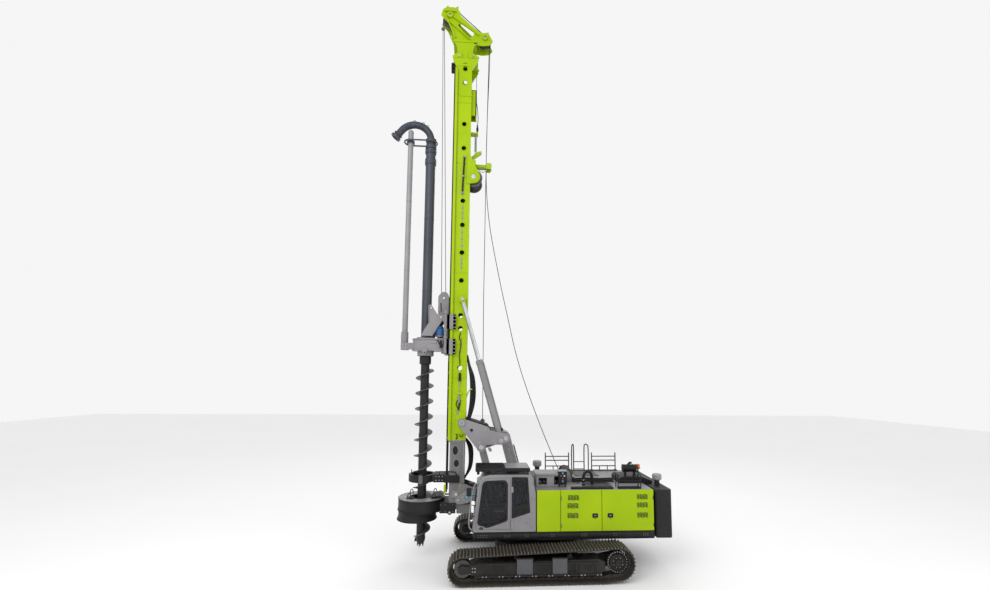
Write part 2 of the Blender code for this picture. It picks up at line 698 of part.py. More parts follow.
# ---------------------------------------------------------------- parallelogram and luff cylinders
def boom():
    half = 0.26
    body = plate("boom", [hull(circle(*BOOM_FOOT, 0.17, 20) + circle(*BOOM_HEAD, 0.16, 20)),
                          circle(*BOOM_FOOT, 0.064), circle(*BOOM_HEAD, 0.064),
                          circle(*LUFF_HEAD, 0.075)], -half, half)
    low = Vector(BOOM_FOOT) + Vector(ARM) * 0.20
    high = Vector(BOOM_FOOT) + Vector(ARM) * 0.82
    across = Vector((ARM[1], -ARM[0])).normalized() * 0.13
    hollow = plate("boom_hollow", [[tuple(low + across), tuple(high + across),
                                    tuple(high - across * 3), tuple(low - across * 3)]],
                   -half + 0.03, half - 0.03)
    cut(body, hollow)
    finish(body, GREY, BOOM, 0.45)


def front_link():
    half = 0.24
    body = plate("front_link", [hull(circle(*LINK_FOOT, 0.13) + circle(*LINK_HEAD, 0.11)),
                                circle(*LINK_FOOT, 0.064), circle(*LINK_HEAD, 0.064)], -half, half)
    finish(body, GREY, LINK, 0.45)


def cylinder_shapes(name, foot, head, y, barrel_radius, rod_radius, share):
    """A barrel and a rod on the plane at y, each with an open eye at its own pin."""
    foot_v, head_v = Vector(at(foot, y)), Vector(at(head, y))
    run = head_v - foot_v
    way = run.normalized()
    eye = barrel_radius * 1.05
    mouth = foot_v + run * share
    barrel = drum(f"{name}_barrel", foot_v + way * eye * 0.6, mouth, barrel_radius)
    foot_eye = cross_pin(f"{name}_foot_eye", foot, barrel_radius * 0.8, eye, 16, y)
    bore = drum(f"{name}_bore", foot_v + way * eye * 1.5, mouth + way * 0.1, rod_radius + 0.004)
    join(barrel, foot_eye)
    cut(barrel, bore)
    rod = drum(f"{name}_rod", foot_v + run * share * 0.35, head_v - way * 0.02, rod_radius)
    join(rod, cross_pin(f"{name}_head_eye", head, rod_radius * 1.3, rod_radius * 1.6, 16, y))
    return barrel, rod


def luff_cylinders():
    """A cylinder on each side of the boom. Both barrels share a foot shaft, both rods a head shaft."""
    pair = [cylinder_shapes(f"luff_{side}", LUFF_FOOT, LUFF_HEAD, sign * LUFF_Y, 0.085, 0.05, 0.70)
            for side, sign in (("left", -1), ("right", 1))]
    barrels, rods = pair[0]
    barrels.name, rods.name = "luff_barrels", "luff_rods"
    join(barrels, cross_pin("luff_foot_shaft", LUFF_FOOT, LUFF_Y, 0.05), pair[1][0])
    join(rods, cross_pin("luff_head_shaft", LUFF_HEAD, LUFF_Y, 0.05), pair[1][1])
    finish(barrels, GREY, LUFF_BARREL, 0.4)
    finish(rods, CHROME, LUFF_ROD, 0.15, 1.0)


def mast_stays():
    """The two long cylinders that hold the mast back, one on each side of it."""
    for side, sign in (("left", -1), ("right", 1)):
        y = sign * STAY_Y
        barrel, rod = cylinder_shapes(f"stay_{side}", STAY_FOOT, STAY_HEAD, y, 0.10, 0.065, 0.56)
        cut(barrel, cross_pin(f"stay_foot_hole_{side}", STAY_FOOT, 0.2, 0.054, 16, y))
        cut(rod, cross_pin(f"stay_head_hole_{side}", STAY_HEAD, 0.2, 0.066, 16, y))
        barrel.name, rod.name = f"stay_barrel_{side}", f"stay_rod_{side}"
        finish(barrel, GREY, STAY_BARREL, 0.4)
        finish(rod, CHROME, STAY_ROD, 0.15, 1.0)


# ---------------------------------------------------------------- tripod
def tripod():
    """The two side plates that carry the mast, held apart by a box and the pin cheeks."""
    top_front = circle(*MAST_PIN, 0.13, 20)
    front = hull(top_front + circle(*LINK_HEAD, 0.14) + circle(-1.62, 4.06, 0.16, 12))
    rear = hull(circle(-1.62, 3.88, 0.24) + circle(*BOOM_HEAD, 0.13) + circle(*STAY_FOOT, 0.13))
    sides = []
    for side, sign in (("left", -1), ("right", 1)):
        y = sorted((sign * 0.60, sign * 0.66))
        sides.append(plate(f"tripod_side_{side}", [front], *y))
        sides.append(plate(f"tripod_tail_{side}", [rear], y[0] + 0.002, y[1] - 0.002))
        cheek = sorted((sign * 0.28, sign * 0.34))
        sides.append(plate(f"tripod_cheek_{side}", [hull(circle(*LINK_HEAD, 0.13, 12) + circle(*BOOM_HEAD, 0.13, 12)
                                                         + circle(-1.62, 3.95, 0.12, 8))], *cheek))
        sides.append(cross_pin(f"stay_pin_{side}", STAY_FOOT, 0.12, 0.05, 16, sign * 0.49))
    beam = plate("tripod", [[(-1.92, 3.86), (-1.50, 3.70), (-1.42, 3.95), (-1.60, 4.12), (-1.88, 4.10)]],
                 -0.63, 0.63)
    pins = [cross_pin("tripod_link_pin", LINK_HEAD, 0.685, 0.06), cross_pin("tripod_boom_pin", BOOM_HEAD, 0.36, 0.06)]
    holes = [cross_pin("mast_pin_hole", MAST_PIN, 0.8, 0.073)]
    join(beam, *sides, *pins)
    cut(beam, *holes)
    finish(beam, GREY, TRIPOD, 0.45)


# ---------------------------------------------------------------- mast
HOLE_HEIGHTS = (16.45, 15.95, 14.42, 13.55, 11.68, 10.84, 9.89, 8.94, 7.77, 7.34, 6.05)


def mast():
    x0, x1 = MAST_X
    column = block("mast", (x0, -MAST_Y, MAST_JOINT), (x1, MAST_Y, MAST_TOP))
    flanges = [block(f"mast_rail_{i}", (x0 - 0.055, y0, MAST_JOINT), (x0 + 0.03, y1, MAST_TOP - 0.4))
               for i, (y0, y1) in enumerate(((-0.42, -0.24), (0.24, 0.42)))]
    pin = cross_pin("mast_pivot_pin", MAST_PIN, 0.70, 0.07)
    ears = cross_pin("mast_ears", MAST_PIN, 0.56, 0.13)
    stay_pin = cross_pin("mast_stay_pin", STAY_HEAD, 0.60, 0.05)
    knuckle = plate("mast_knuckle", [hull([(-2.91, 16.84), (-2.76, 16.50), (-2.23, 16.42), (-2.01, 16.80),
                                           (-2.05, 16.849), (-2.88, 16.849)])], -MAST_Y - 0.01, MAST_Y + 0.01)
    join(column, *flanges, knuckle, ears, stay_pin, pin)
    hollow = block("mast_hollow", (x0 + MAST_WALL, -MAST_Y + MAST_WALL, MAST_JOINT - 0.1),
                   (x1 - MAST_WALL, MAST_Y - MAST_WALL, MAST_TOP + 0.1))
    holes = [cross_pin(f"mast_hole_{z}", (-2.47, z), 0.5, 0.08, 10) for z in HOLE_HEIGHTS]
    recess = cross_pin("crowd_recess", CROWD_DRUM, MAST_Y - 0.015, 0.33, 24)
    cut(column, hollow, recess, *holes)
    join(column, *crowd_winch_shapes())
    finish(column, LIME, MAST, 0.35)


def lower_mast():
    x0, x1 = MAST_X
    top = MAST_JOINT - GAP
    column = block("lower_mast", (x0 + 0.01, -0.34, MAST_BOTTOM), (x1 - 0.02, 0.34, top))
    foot = block("mast_foot", (-2.49, -0.34, 1.47), (-2.03, 0.34, 1.77), 0.02)
    collar = block("mast_collar", (x0 - 0.02, -0.347, top - 0.05), (x1 + 0.01, 0.347, top))
    join(column, foot, collar)
    hollow = block("lower_hollow", (x0 + 0.03, -0.32, MAST_BOTTOM + 0.4), (x1 - 0.04, 0.32, top + 0.2))
    holes = [cross_pin("lower_hole_a", (-2.56, 3.42), 0.5, 0.11, 12), cross_pin("lower_hole_b", (-2.52, 3.02), 0.5, 0.09, 12)]
    cut(column, hollow, *holes)
    join(column, *main_winch_shapes())
    finish(column, GREY, MAST, 0.45)


def mast_head():
    """The head section: a neck on the knuckle, and the inclined beam that carries both sheaves."""
    low = MAST_TOP + GAP
    neck = block("mast_head", (-2.76, -0.30, low), (-2.22, 0.30, 17.56))
    top_plate = block("head_plate", (-2.88, -0.34, 17.46), (-2.10, 0.34, 17.58), 0.01)
    beam_outline = [(-3.33, 18.74), (-3.11, 18.90), (-2.75, 18.88), (-2.62, 18.50), (-1.95, 17.98),
                    (-1.66, 17.92), (-1.52, 17.60), (-1.71, 17.44), (-2.20, 17.50), (-2.88, 17.50),
                    (-3.04, 18.18), (-3.36, 18.55)]
    slot = [(-2.78, 18.20), (-2.66, 18.24), (-2.19, 17.93), (-2.36, 17.72)]
    cheeks = [plate(f"head_cheek_{i}", [beam_outline, slot], y0, y1)
              for i, (y0, y1) in enumerate(((-0.26, -0.22), (0.22, 0.26)))]
    ties = [block("head_tie_a", (-2.755, -0.24, 18.56), (-2.69, 0.24, 18.72)),
            block("head_tie_b", (-2.14, -0.24, 17.70), (-2.06, 0.24, 18.06))]
    bars = [cross_pin("head_sheave_pin", HEAD_SHEAVE, 0.30, 0.05), cross_pin("rear_sheave_pin", REAR_SHEAVE, 0.30, 0.05)]
    join(neck, top_plate, *cheeks, *ties, *bars)
    hollow = block("neck_hollow", (-2.72, -0.26, low - 0.1), (-2.26, 0.26, 17.42))
    cut(neck, hollow)
    finish(neck, LIME, MAST, 0.35)


def sheave(name, place, half_width, bore=0.054):
    """A grooved rope wheel on its pin."""
    x, z, radius = place
    axis = axis_empty(f"{name}_axis", (x, 0, z), MAST)
    profile = [(radius, half_width), (radius, half_width * 0.8), (radius - 0.04, half_width * 0.25),
               (radius - 0.04, -half_width * 0.25), (radius, -half_width * 0.8), (radius, -half_width),
               (bore, -half_width), (bore, half_width)]
    wheel_obj = turned(name, profile, (0, 0))
    wheel_obj.rotation_euler = (math.radians(90), 0, 0)
    wheel_obj.location = (x, 0, z)
    finish(wheel_obj, STEEL, axis, 0.5, 0.5)


def winch(name, place, flange, half_width, parent, bore=0.064):
    """A rope drum between its two flanges."""
    x, z, radius = place
    axis = axis_empty(f"{name}_axis", (x, 0, z), parent)
    edge = 0.02
    profile = [(flange, half_width), (flange, half_width - edge), (radius, half_width - edge),
               (radius, edge - half_width), (flange, edge - half_width), (flange, -half_width),
               (bore, -half_width), (bore, half_width)]
    spool = turned(name, profile, (0, 0))
    spool.rotation_euler = (math.radians(90), 0, 0)
    spool.location = (x, 0, z)
    finish(spool, STEEL, axis, 0.5, 0.5)


def crowd_winch_shapes():
    """Two rounded plates on the mast's rear that hold the crowd winch, with the rope guide's two arms."""
    x, z = CROWD_DRUM[:2]
    outline = hull(circle(x, z, 0.22, 20) + [(-2.34, z + 0.70), (-2.34, z - 0.25), (-2.25, z + 0.80)])
    sides = [plate(f"crowd_side_{i}", [outline], y0, y1)
             for i, (y0, y1) in enumerate(((-MAST_Y - 0.035, 0.01 - MAST_Y), (MAST_Y - 0.01, MAST_Y + 0.035)))]
    axle = cross_pin("crowd_axle", (x, z), MAST_Y + 0.03, 0.06)
    tie = block("crowd_tie", (-2.20, -MAST_Y - 0.02, z + 0.45), (-2.05, MAST_Y + 0.02, z + 0.60))
    arms = [block(f"rope_guide_arm_{i}", (-2.15, y0, z + 0.47), (-1.56, y1, z + 0.58))
            for i, (y0, y1) in enumerate(((-0.10, -0.07), (0.07, 0.10)))]
    end = block("rope_guide_end", (-1.61, -0.09, z + 0.48), (-1.565, 0.09, z + 0.57))
    return [*sides, axle, tie, *arms, end]


def main_winch_shapes():
    """The plates on the mast foot that hold the main winch."""
    x, z = MAIN_DRUM[:2]
    outline = hull(circle(x, z, 0.20, 20) + [(-2.45, 1.98), (-2.45, 2.36), (-2.30, 2.40)])
    sides = [plate(f"main_winch_side_{i}", [outline], y0, y1)
             for i, (y0, y1) in enumerate(((-0.385, -0.335), (0.335, 0.385)))]
    return [*sides, cross_pin("main_axle", (x, z), 0.37, 0.06)]


def aux_winch_frame():
    x, z = AUX_DRUM[:2]
    low = PANEL_TOP - 0.3
    outline = hull(circle(x, z, 0.10) + [(x - 0.22, low), (x + 0.22, low)])
    near = plate("aux_winch_frame", [outline], -0.34, -0.31)
    far = plate("aux_winch_far", [outline], 0.31, 0.34)
    axle = cross_pin("aux_axle", (x, z), 0.33, 0.05)
    base = block("aux_base", (x - 0.30, -0.38, low - 0.03), (x + 0.30, 0.38, low + 0.03))
    legs = [block(f"aux_leg_{i}", (x - 0.28, y - 0.04, SILL[1] + GAP), (x - 0.20, y + 0.04, low))
            for i, y in enumerate((-0.33, 0.33))]
    rear_legs = [block(f"aux_rear_leg_{i}", (x + 0.20, y - 0.04, SILL[1] + GAP), (x + 0.28, y + 0.04, low))
                 for i, y in enumerate((-0.33, 0.33))]
    join(near, base, axle, far, *legs, *rear_legs)
    finish(near, GREY, SLEW, 0.45)


def guide_arm():
    """The auger guide: a beam on the mast's front with a ring around the auger."""
    beam = block("guide_arm", (-3.30, -0.26, 2.43), (MAST_X[0] - GAP, 0.26, 2.65), 0.01)
    ring = turned("guide_ring", [(0.43, 2.65), (0.43, 2.43), (0.335, 2.43), (0.335, 2.65)], (DRILL_X, 0), 28)
    bore = drum("guide_bore", (DRILL_X, 0, 2.2), (DRILL_X, 0, 2.9), 0.36, 28)
    cut(beam, bore)
    straps = [block(f"guide_strap_{i}", (-2.90, y0, 2.43), (-2.42, y1, 2.65))
              for i, (y0, y1) in enumerate(((-0.40, -0.34 - GAP), (0.34 + GAP, 0.40)))]
    front = block("guide_front", (-2.90, -0.40, 2.43), (MAST_X[0] - GAP, 0.40, 2.65))
    join(beam, front, ring, *straps)
    finish(beam, CHARCOAL, MAST, 0.5)


def soil_catcher():
    """The round casing that the auger turns in: a wide drum over a flared skirt, with its arm to the mast foot."""
    wall = 0.025
    rim = CATCHER_RADIUS
    top, floor = CATCHER_Z
    casing = turned("soil_catcher", [(rim, top), (rim, floor), (0.345, floor), (0.345, floor + wall),
                                     (rim - wall, floor + wall), (rim - wall, top - wall), (0.345, top - wall),
                                     (0.345, top)], (DRILL_X, 0), 32)
    skirt = turned("catcher_skirt", [(0.60, floor + 0.04), (0.59, 1.42), (0.625, 1.27), (0.595, 1.27), (0.56, 1.42),
                                     (0.57, floor + 0.04)], (CATCHER_SKIRT_X, 0), 32)
    arm = block("catcher_arm", (-3.02, -0.40, 1.50), (MAST_X[0] + 0.01 - GAP, 0.40, 1.84), 0.01)
    cheeks = [block(f"catcher_cheek_{i}", (MAST_X[0] - 0.02, y0, 1.50), (-2.52, y1, 1.80))
              for i, (y0, y1) in enumerate(((-0.40, -0.345), (0.345, 0.40)))]
    join(casing, skirt, arm, *cheeks)
    cut(casing, drum("skirt_hollow", (CATCHER_SKIRT_X, 0, floor - 0.06), (CATCHER_SKIRT_X, 0, floor + 0.05), 0.56, 32))
    finish(casing, CHARCOAL, MAST, 0.5)


# ---------------------------------------------------------------- rotary head and drill string
def crowd_sled():
    """The carriage that runs up and down the mast's front rails."""
    back = block("crowd_sled", (-3.00, -0.46, 6.48), (-2.87, 0.46, 7.78), 0.01)
    shoes = []
    for i, (z0, z1) in enumerate(((6.48, 6.98), (7.30, 7.78))):
        for sign in (-1, 1):
            y = sorted((sign * 0.355, sign * 0.48))
            shoes.append(block(f"sled_shoe_{i}_{sign}", (-2.90, y[0], z0), (-2.62, y[1], z1)))
    slots = [block(f"sled_slot_{sign}", (-2.82, *[min(sign * 0.30, sign * 0.44)], 6.0),
                   (-2.705, max(sign * 0.30, sign * 0.44), 8.2)) for sign in (-1, 1)]
    join(back, *shoes)
    cut(back, *slots)
    cheek_outline = [(-2.95, 7.30), (-3.10, 7.55), (-3.41, 7.06), (-3.73, 7.06), (-3.50, 7.50), (-3.51, 8.10),
                     (-3.39, 8.02), (-3.22, 7.78), (-2.95, 7.75)]
    cheeks = [plate(f"sled_cheek_{i}", [cheek_outline], y0, y1)
              for i, (y0, y1) in enumerate(((-0.44, -0.40), (0.40, 0.44)))]
    head = block("sled_head", (-3.20, -0.42, 7.60), (-2.90, 0.42, 7.76), 0.01)
    hanger = block("sled_hanger", (-3.10, -0.12, 7.70), (-2.90, 0.12, 8.50), 0.02)
    join(back, head, *cheeks, hanger)
    finish(back, GREY, CROWD, 0.45)


def gearbox():
    """The rotary drive: a ring gearbox around the pipe, with the torque bar's arm in front."""
    shape = hull(circle(DRILL_X, 0, 0.42, 28) + [(-3.00 - GAP, -0.40), (-3.00 - GAP, 0.40)])
    housing = slab("rotary_gearbox", [shape], 6.60, 7.05 - GAP)
    arm = block("gearbox_arm", (-4.42, -0.11, 6.64), (-3.90, 0.11, 6.88), 0.02)
    skirt = drum("gearbox_skirt", (DRILL_X, 0, 6.44), (DRILL_X, 0, 6.62), 0.27, 24)
    join(housing, arm, skirt)
    cut(housing, drum("gearbox_bore", (DRILL_X, 0, 6.3), (DRILL_X, 0, 7.2), PIPE_RADIUS + RUN, 20))
    finish(housing, GREY, CROWD, 0.45)


def rotary_motors():
    """The two hydraulic motors on the gearbox, tied by their manifold."""
    low = 7.05
    block_obj = block("rotary_motors", (-3.18, -0.28, low + 0.12), (-3.06, 0.28, low + 0.24), 0.01)
    for i, y in enumerate((-0.24, 0.24)):
        join(block_obj, drum(f"motor_{i}", (-3.14, y, low), (-3.14, y, low + 0.38), 0.115))
    finish(block_obj, BLUE, CROWD, 0.4)


def torque_bar():
    low = 6.88 + GAP
    bar = drum("torque_bar", (TORQUE_BAR_X, 0, low), (TORQUE_BAR_X, 0, 14.25), 0.095)
    socket = drum("torque_socket", (TORQUE_BAR_X, 0, low), (TORQUE_BAR_X, 0, 7.22), 0.12)
    join(bar, socket)
    finish(bar, GREY, CROWD, 0.45)


def gooseneck():
    """The concrete swivel with its curved inlet pipe, held from turning by the torque bar."""
    base = 13.64
    swivel = drum("gooseneck", (DRILL_X, 0, base), (DRILL_X, 0, 13.98), 0.19, 20)
    bend = []
    arc_centre, arc_radius, steps = (-4.13, 13.93), 0.53, 10
    for i in range(steps + 1):
        angle = math.radians(5 + 140 * i / steps)
        bend.append((arc_centre[0] + arc_radius * math.cos(angle), 0, arc_centre[1] + arc_radius * math.sin(angle)))
    start = (DRILL_X, 0, 13.90)
    end_way = (Vector(bend[-1]) - Vector(bend[-2])).normalized()
    last = Vector(bend[-1]) + end_way * 0.38
    tube = pipe("gooseneck_pipe", [start, *bend, tuple(last)], 0.10, 12)
    flange = drum("inlet_flange", last - end_way * 0.03, last + end_way * 0.03, 0.15)
    loop_outline = hull(circle(DRILL_X, 0, 0.20) + circle(TORQUE_BAR_X, 0, 0.19))
    loop_hole = circle(TORQUE_BAR_X, 0, 0.125)
    loop = slab("gooseneck_loop", [loop_outline, loop_hole], 13.90, 13.95)
    join(swivel, tube, flange, loop)
    finish(swivel, CHARCOAL, CROWD, 0.45)


def drill_pipe():
    top = 13.64 - 0.012
    tube = drum("drill_pipe", (DRILL_X, 0, 6.16), (DRILL_X, 0, top), PIPE_RADIUS, 20)
    collars = [drum(f"pipe_collar_{i}", (DRILL_X, 0, z0), (DRILL_X, 0, z1), 0.19, 20)
               for i, (z0, z1) in enumerate(((13.45, top), (13.05, 13.27), (6.16, 6.40)))]
    join(tube, *collars)
    finish(tube, CHARCOAL, DRILL, 0.4, 0.4)


def auger():
    """The flighted stem: a helical strip around a tube, ending in a toothed bit."""
    stem = drum("auger", (DRILL_X, 0, 0.62), (DRILL_X, 0, 6.16 - GAP), STEM_RADIUS, 16)
    bottom, turns, steps = 0.62, 9.9, 12
    strip = bmesh.new()
    inner, outer = STEM_RADIUS - 0.02, AUGER_RADIUS - 0.004
    rungs = []
    for i in range(int(turns * steps) + 1):
        angle = 2 * math.pi * i / steps
        z = bottom + AUGER_PITCH * i / steps
        rungs.append([strip.verts.new((r * math.cos(angle), r * math.sin(angle), z)) for r in (inner, outer)])
    for (a, b), (c, d) in zip(rungs, rungs[1:]):
        strip.faces.new((a, b, d, c))
    flight = from_bmesh("auger_flight", strip)
    flight.location = (DRILL_X, 0, 0)
    shell = flight.modifiers.new("thickness", "SOLIDIFY")
    shell.thickness = 0.022
    shell.offset = 0.0
    bit = drum("auger_bit", (DRILL_X, 0, 0.40), (DRILL_X, 0, 0.66), 0.03, 12, 0.13)
    join(stem, flight, bit)
    finish(stem, STEEL, DRILL, 0.5, 0.6)


# ---------------------------------------------------------------- slack auxiliary rope
ROPE_RADIUS = 0.012
ROPE_ROUTE = [(-1.617, 17.72), (-1.617, 17.00), (-1.64, 16.10), (-1.67, 15.10), (-1.69, 13.70), (-1.67, 12.24),
              (-1.52, 10.81), (-1.19, 9.10), (-0.90, 7.80), (-0.62, 6.60), (-0.28, 5.50), (0.18, 4.27),
              (0.58, 3.30), (0.80, 2.79), (0.887, 2.60)]


def smooth(points, steps):
    """Points along a smooth curve through the given points."""
    ends = [points[0], *points, points[-1]]
    route = []
    for p0, p1, p2, p3 in zip(ends, ends[1:], ends[2:], ends[3:]):
        for i in range(steps):
            t = i / steps
            route.append(tuple(
                0.5 * (2 * b + (c - a) * t + (2 * a - 5 * b + 4 * c - d) * t ** 2
                       + (3 * b - a - 3 * c + d) * t ** 3)
                for a, b, c, d in zip(p0, p1, p2, p3)))
    return [*route, points[-1]]


def auxiliary_rope():
    """The rope that hangs slack from the rear sheave down to the winch on the deck."""
    rope = round_curve("auxiliary_rope", [at(point) for point in smooth(ROPE_ROUTE, 5)], ROPE_RADIUS)
    finish(rope, STEEL, TRIPOD, 0.6, 0.5)


# ---------------------------------------------------------------- assembly
def build():
    half_gauge = TRACK_GAUGE / 2
    for side, y in (("left", -half_gauge), ("right", half_gauge)):
        track(side, y)
        track_frame(side, y)
        sprocket(side, y)
    car_body()
    slew_ring()

    platform()
    counterweight()
    engine()
    engine_house()
    for side, sign in (("left", -1), ("right", 1)):
        side_panel(side, sign)
        house_door(side, sign, "front")
        house_door(side, sign, "rear")
    front_tank()
    boom_bracket()
    deck_cabinet()
    muffler()
    deck_rails()
    cab()
    seat()
    roof_guard()

    boom()
    front_link()
    luff_cylinders()
    tripod()
    mast_stays()

    mast()
    lower_mast()
    mast_head()
    sheave("head_sheave", HEAD_SHEAVE, 0.16)
    sheave("rear_sheave", REAR_SHEAVE, 0.16)
    winch("crowd_winch_drum", CROWD_DRUM, 0.31, 0.32, MAST)
    winch("main_winch_drum", MAIN_DRUM, 0.25, 0.32, MAST)
    aux_winch_frame()
    winch("aux_winch_drum", AUX_DRUM, 0.22, 0.30, SLEW, 0.054)
    guide_arm()
    soil_catcher()
    crowd_sled()
    gearbox()
    rotary_motors()
    torque_bar()
    gooseneck()
    drill_pipe()
    auger()
    auxiliary_rope()


build()
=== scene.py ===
"""Looks of the rotary piling rig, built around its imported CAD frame.

Every size is in metres. Pieces are drawn about the slew axis, facing -X with the left side
at -Y, and each mesh is then moved by the slew joint's own X, which puts it in the CAD's frame.
"""

import json
from math import copysign, cos, dist, pi, radians, sin

import bmesh
import bpy
from mathutils import Matrix, Vector
from mathutils.geometry import tessellate_polygon

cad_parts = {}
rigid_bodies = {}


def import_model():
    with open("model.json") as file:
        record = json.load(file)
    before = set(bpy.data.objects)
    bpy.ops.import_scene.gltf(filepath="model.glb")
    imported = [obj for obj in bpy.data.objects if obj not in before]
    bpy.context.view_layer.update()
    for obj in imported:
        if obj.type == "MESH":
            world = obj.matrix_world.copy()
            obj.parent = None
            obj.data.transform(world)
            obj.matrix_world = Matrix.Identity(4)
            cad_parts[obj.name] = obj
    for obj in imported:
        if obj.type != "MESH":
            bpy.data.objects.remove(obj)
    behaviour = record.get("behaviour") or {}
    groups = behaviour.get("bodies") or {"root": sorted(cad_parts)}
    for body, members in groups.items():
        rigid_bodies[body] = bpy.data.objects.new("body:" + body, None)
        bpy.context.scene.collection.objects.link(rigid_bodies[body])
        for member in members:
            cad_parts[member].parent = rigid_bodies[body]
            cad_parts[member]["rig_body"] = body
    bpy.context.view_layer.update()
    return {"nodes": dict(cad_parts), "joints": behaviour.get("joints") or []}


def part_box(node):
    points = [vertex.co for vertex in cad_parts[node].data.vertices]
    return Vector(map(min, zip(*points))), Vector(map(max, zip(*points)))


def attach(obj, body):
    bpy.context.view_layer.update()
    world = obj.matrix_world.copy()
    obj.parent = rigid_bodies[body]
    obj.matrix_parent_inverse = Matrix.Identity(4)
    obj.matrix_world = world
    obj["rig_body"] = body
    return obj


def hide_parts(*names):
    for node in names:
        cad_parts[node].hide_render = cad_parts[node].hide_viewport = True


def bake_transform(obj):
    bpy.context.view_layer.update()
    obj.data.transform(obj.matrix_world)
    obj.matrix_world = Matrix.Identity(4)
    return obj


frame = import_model()
JOINTS = {joint["name"]: joint for joint in frame["joints"]}
SLEW_X = JOINTS["slew"]["pos_m"][0]
SHIFT = Vector((SLEW_X, 0, 0))
UP, ALONG_Y, LEFT = (0, 0, 1), (0, 1, 0), (0, -1, 0)

# ---------------------------------------------------------------- named sizes shared with the CAD
TRACK_Y = 1.75
SHOE_WIDTH = 0.70
SHOE_COUNT = 60
BAND = 0.13
GROUSER = 0.04
ROLLER_START, ROLLER_PITCH, ROLLER_COUNT = -1.62, 0.46, 8
IDLER = (-2.23, 0.42, 0.38)
SPROCKET = (2.17, 0.53, 0.44)
CARRIERS = ((-0.70, 0.765, 0.10), (0.80, 0.80, 0.10))
ROLLERS = ((-1.85, 0.40, 0.36), (1.70, 0.40, 0.36))
FACE_Y = 1.50
DECK_SIDE_Y = 1.48
WEIGHT_REAR_X = 4.018
PANEL_Z = (1.25, 2.43)
CAB_Y = (-1.47, -0.58)
CAB_FLOOR = 1.335
DRILL_X = -3.62
DRILL_AXIS = (DRILL_X, 0, 0)
TORQUE_BAR_X = -4.32
MAST_X = (-2.75, -2.24)
MAST_Y = 0.35
MAST_PIN = (-2.36, 4.32)
MAST_JOINT_Z = 3.74
MAST_TOP = 16.85
STAY_HEAD = (-2.42, 8.28)
STAY_FOOT = (-1.12, 3.77)
CROWD_DRUM = (-2.12, 12.53)
MAIN_DRUM = (-1.93, 2.06)
AUX_DRUM = (1.05, 2.66)
HEAD_SHEAVE = (-3.04, 18.52)
REAR_SHEAVE = (-1.80, 17.72)
FOOT_PULLEY = (-2.17, 2.00)
SLED_PULLEY = (-3.04, 8.36)
HOLE_X = -2.47
HOLE_HEIGHTS = (16.45, 15.95, 14.42, 13.55, 11.68, 10.84, 9.89, 8.94, 7.77, 7.34, 6.05)

# ---------------------------------------------------------------- camera
FOCAL = 16.36
SENSOR = 36.0
CAMERA_AT = Vector((-1.9205, -15.0783, 5.6535)) + SHIFT
CAMERA_YAW = 0.067
CAMERA_PITCH = 0.104
CAMERA_ROLL = 0.008
CAMERA_SHIFT = (-0.0123, 0.0389)
CAMERA_FAR = 200


def make_camera():
    """The photograph's viewpoint, in a wide lens that takes the whole mast in."""
    look = Vector((sin(CAMERA_YAW) * cos(CAMERA_PITCH),
                   cos(CAMERA_YAW) * cos(CAMERA_PITCH), sin(CAMERA_PITCH)))
    level = Vector((cos(CAMERA_YAW), -sin(CAMERA_YAW), 0))
    above = level.cross(look)
    right = level * cos(CAMERA_ROLL) + above * sin(CAMERA_ROLL)
    up = right.cross(look)
    camera = bpy.data.objects.new("camera", bpy.data.cameras.new("camera"))
    bpy.context.scene.collection.objects.link(camera)
    turn = Matrix((right, up, -look)).transposed().to_4x4()
    camera.matrix_world = Matrix.Translation(CAMERA_AT) @ turn
    camera.data.lens = FOCAL
    camera.data.sensor_width = SENSOR
    camera.data.shift_x, camera.data.shift_y = CAMERA_SHIFT
    camera.data.clip_end = CAMERA_FAR
    bpy.context.scene.camera = camera


make_camera()


# ---------------------------------------------------------------- materials
COAT_ROUGHNESS = 0.12
EDGE_WEAR = (0.51, 0.60)
GLASS_IOR = 1.5


def node(tree, kind, **values):
    """A shader node with its inputs set by name, and its own properties by attribute."""
    made = tree.nodes.new(kind)
    for key, value in values.items():
        if hasattr(made, key):
            setattr(made, key, value)
        else:
            made.inputs[key.replace("_", " ")].default_value = value
    return made


def mixed(tree, share, first, second):
    """Colour first where share is 0, and second where it is 1. Either may be a socket or a colour."""
    mix = node(tree, "ShaderNodeMix", data_type="RGBA")
    tree.links.new(share, mix.inputs["Factor"])
    for name, colour in (("A", first), ("B", second)):
        socket = [s for s in mix.inputs if s.name == name and s.type == "RGBA"][0]
        if isinstance(colour, bpy.types.NodeSocket):
            tree.links.new(colour, socket)
        else:
            socket.default_value = (*colour, 1)
    return [s for s in mix.outputs if s.type == "RGBA"][0]


def noise(tree, place, scale, detail=4.0, low=0.35, high=0.65, stretch=None):
    """Noise between 0 and 1, with the contrast that low and high give."""
    if stretch:
        mapping = node(tree, "ShaderNodeMapping")
        mapping.inputs["Scale"].default_value = stretch
        tree.links.new(place, mapping.inputs["Vector"])
        place = mapping.outputs["Vector"]
    cloud = node(tree, "ShaderNodeTexNoise", Scale=scale, Detail=detail)
    tree.links.new(place, cloud.inputs["Vector"])
    spread = node(tree, "ShaderNodeMapRange", From_Min=low, From_Max=high)
    tree.links.new(cloud.outputs["Fac"], spread.inputs["Value"])
    return spread.outputs["Result"]


def times(tree, a, b):
    """The product of two values, each a socket or a number."""
    product = node(tree, "ShaderNodeMath", operation="MULTIPLY")
    for i, value in enumerate((a, b)):
        if isinstance(value, (int, float)):
            product.inputs[i].default_value = value
        else:
            tree.links.new(value, product.inputs[i])
    return product.outputs["Value"]


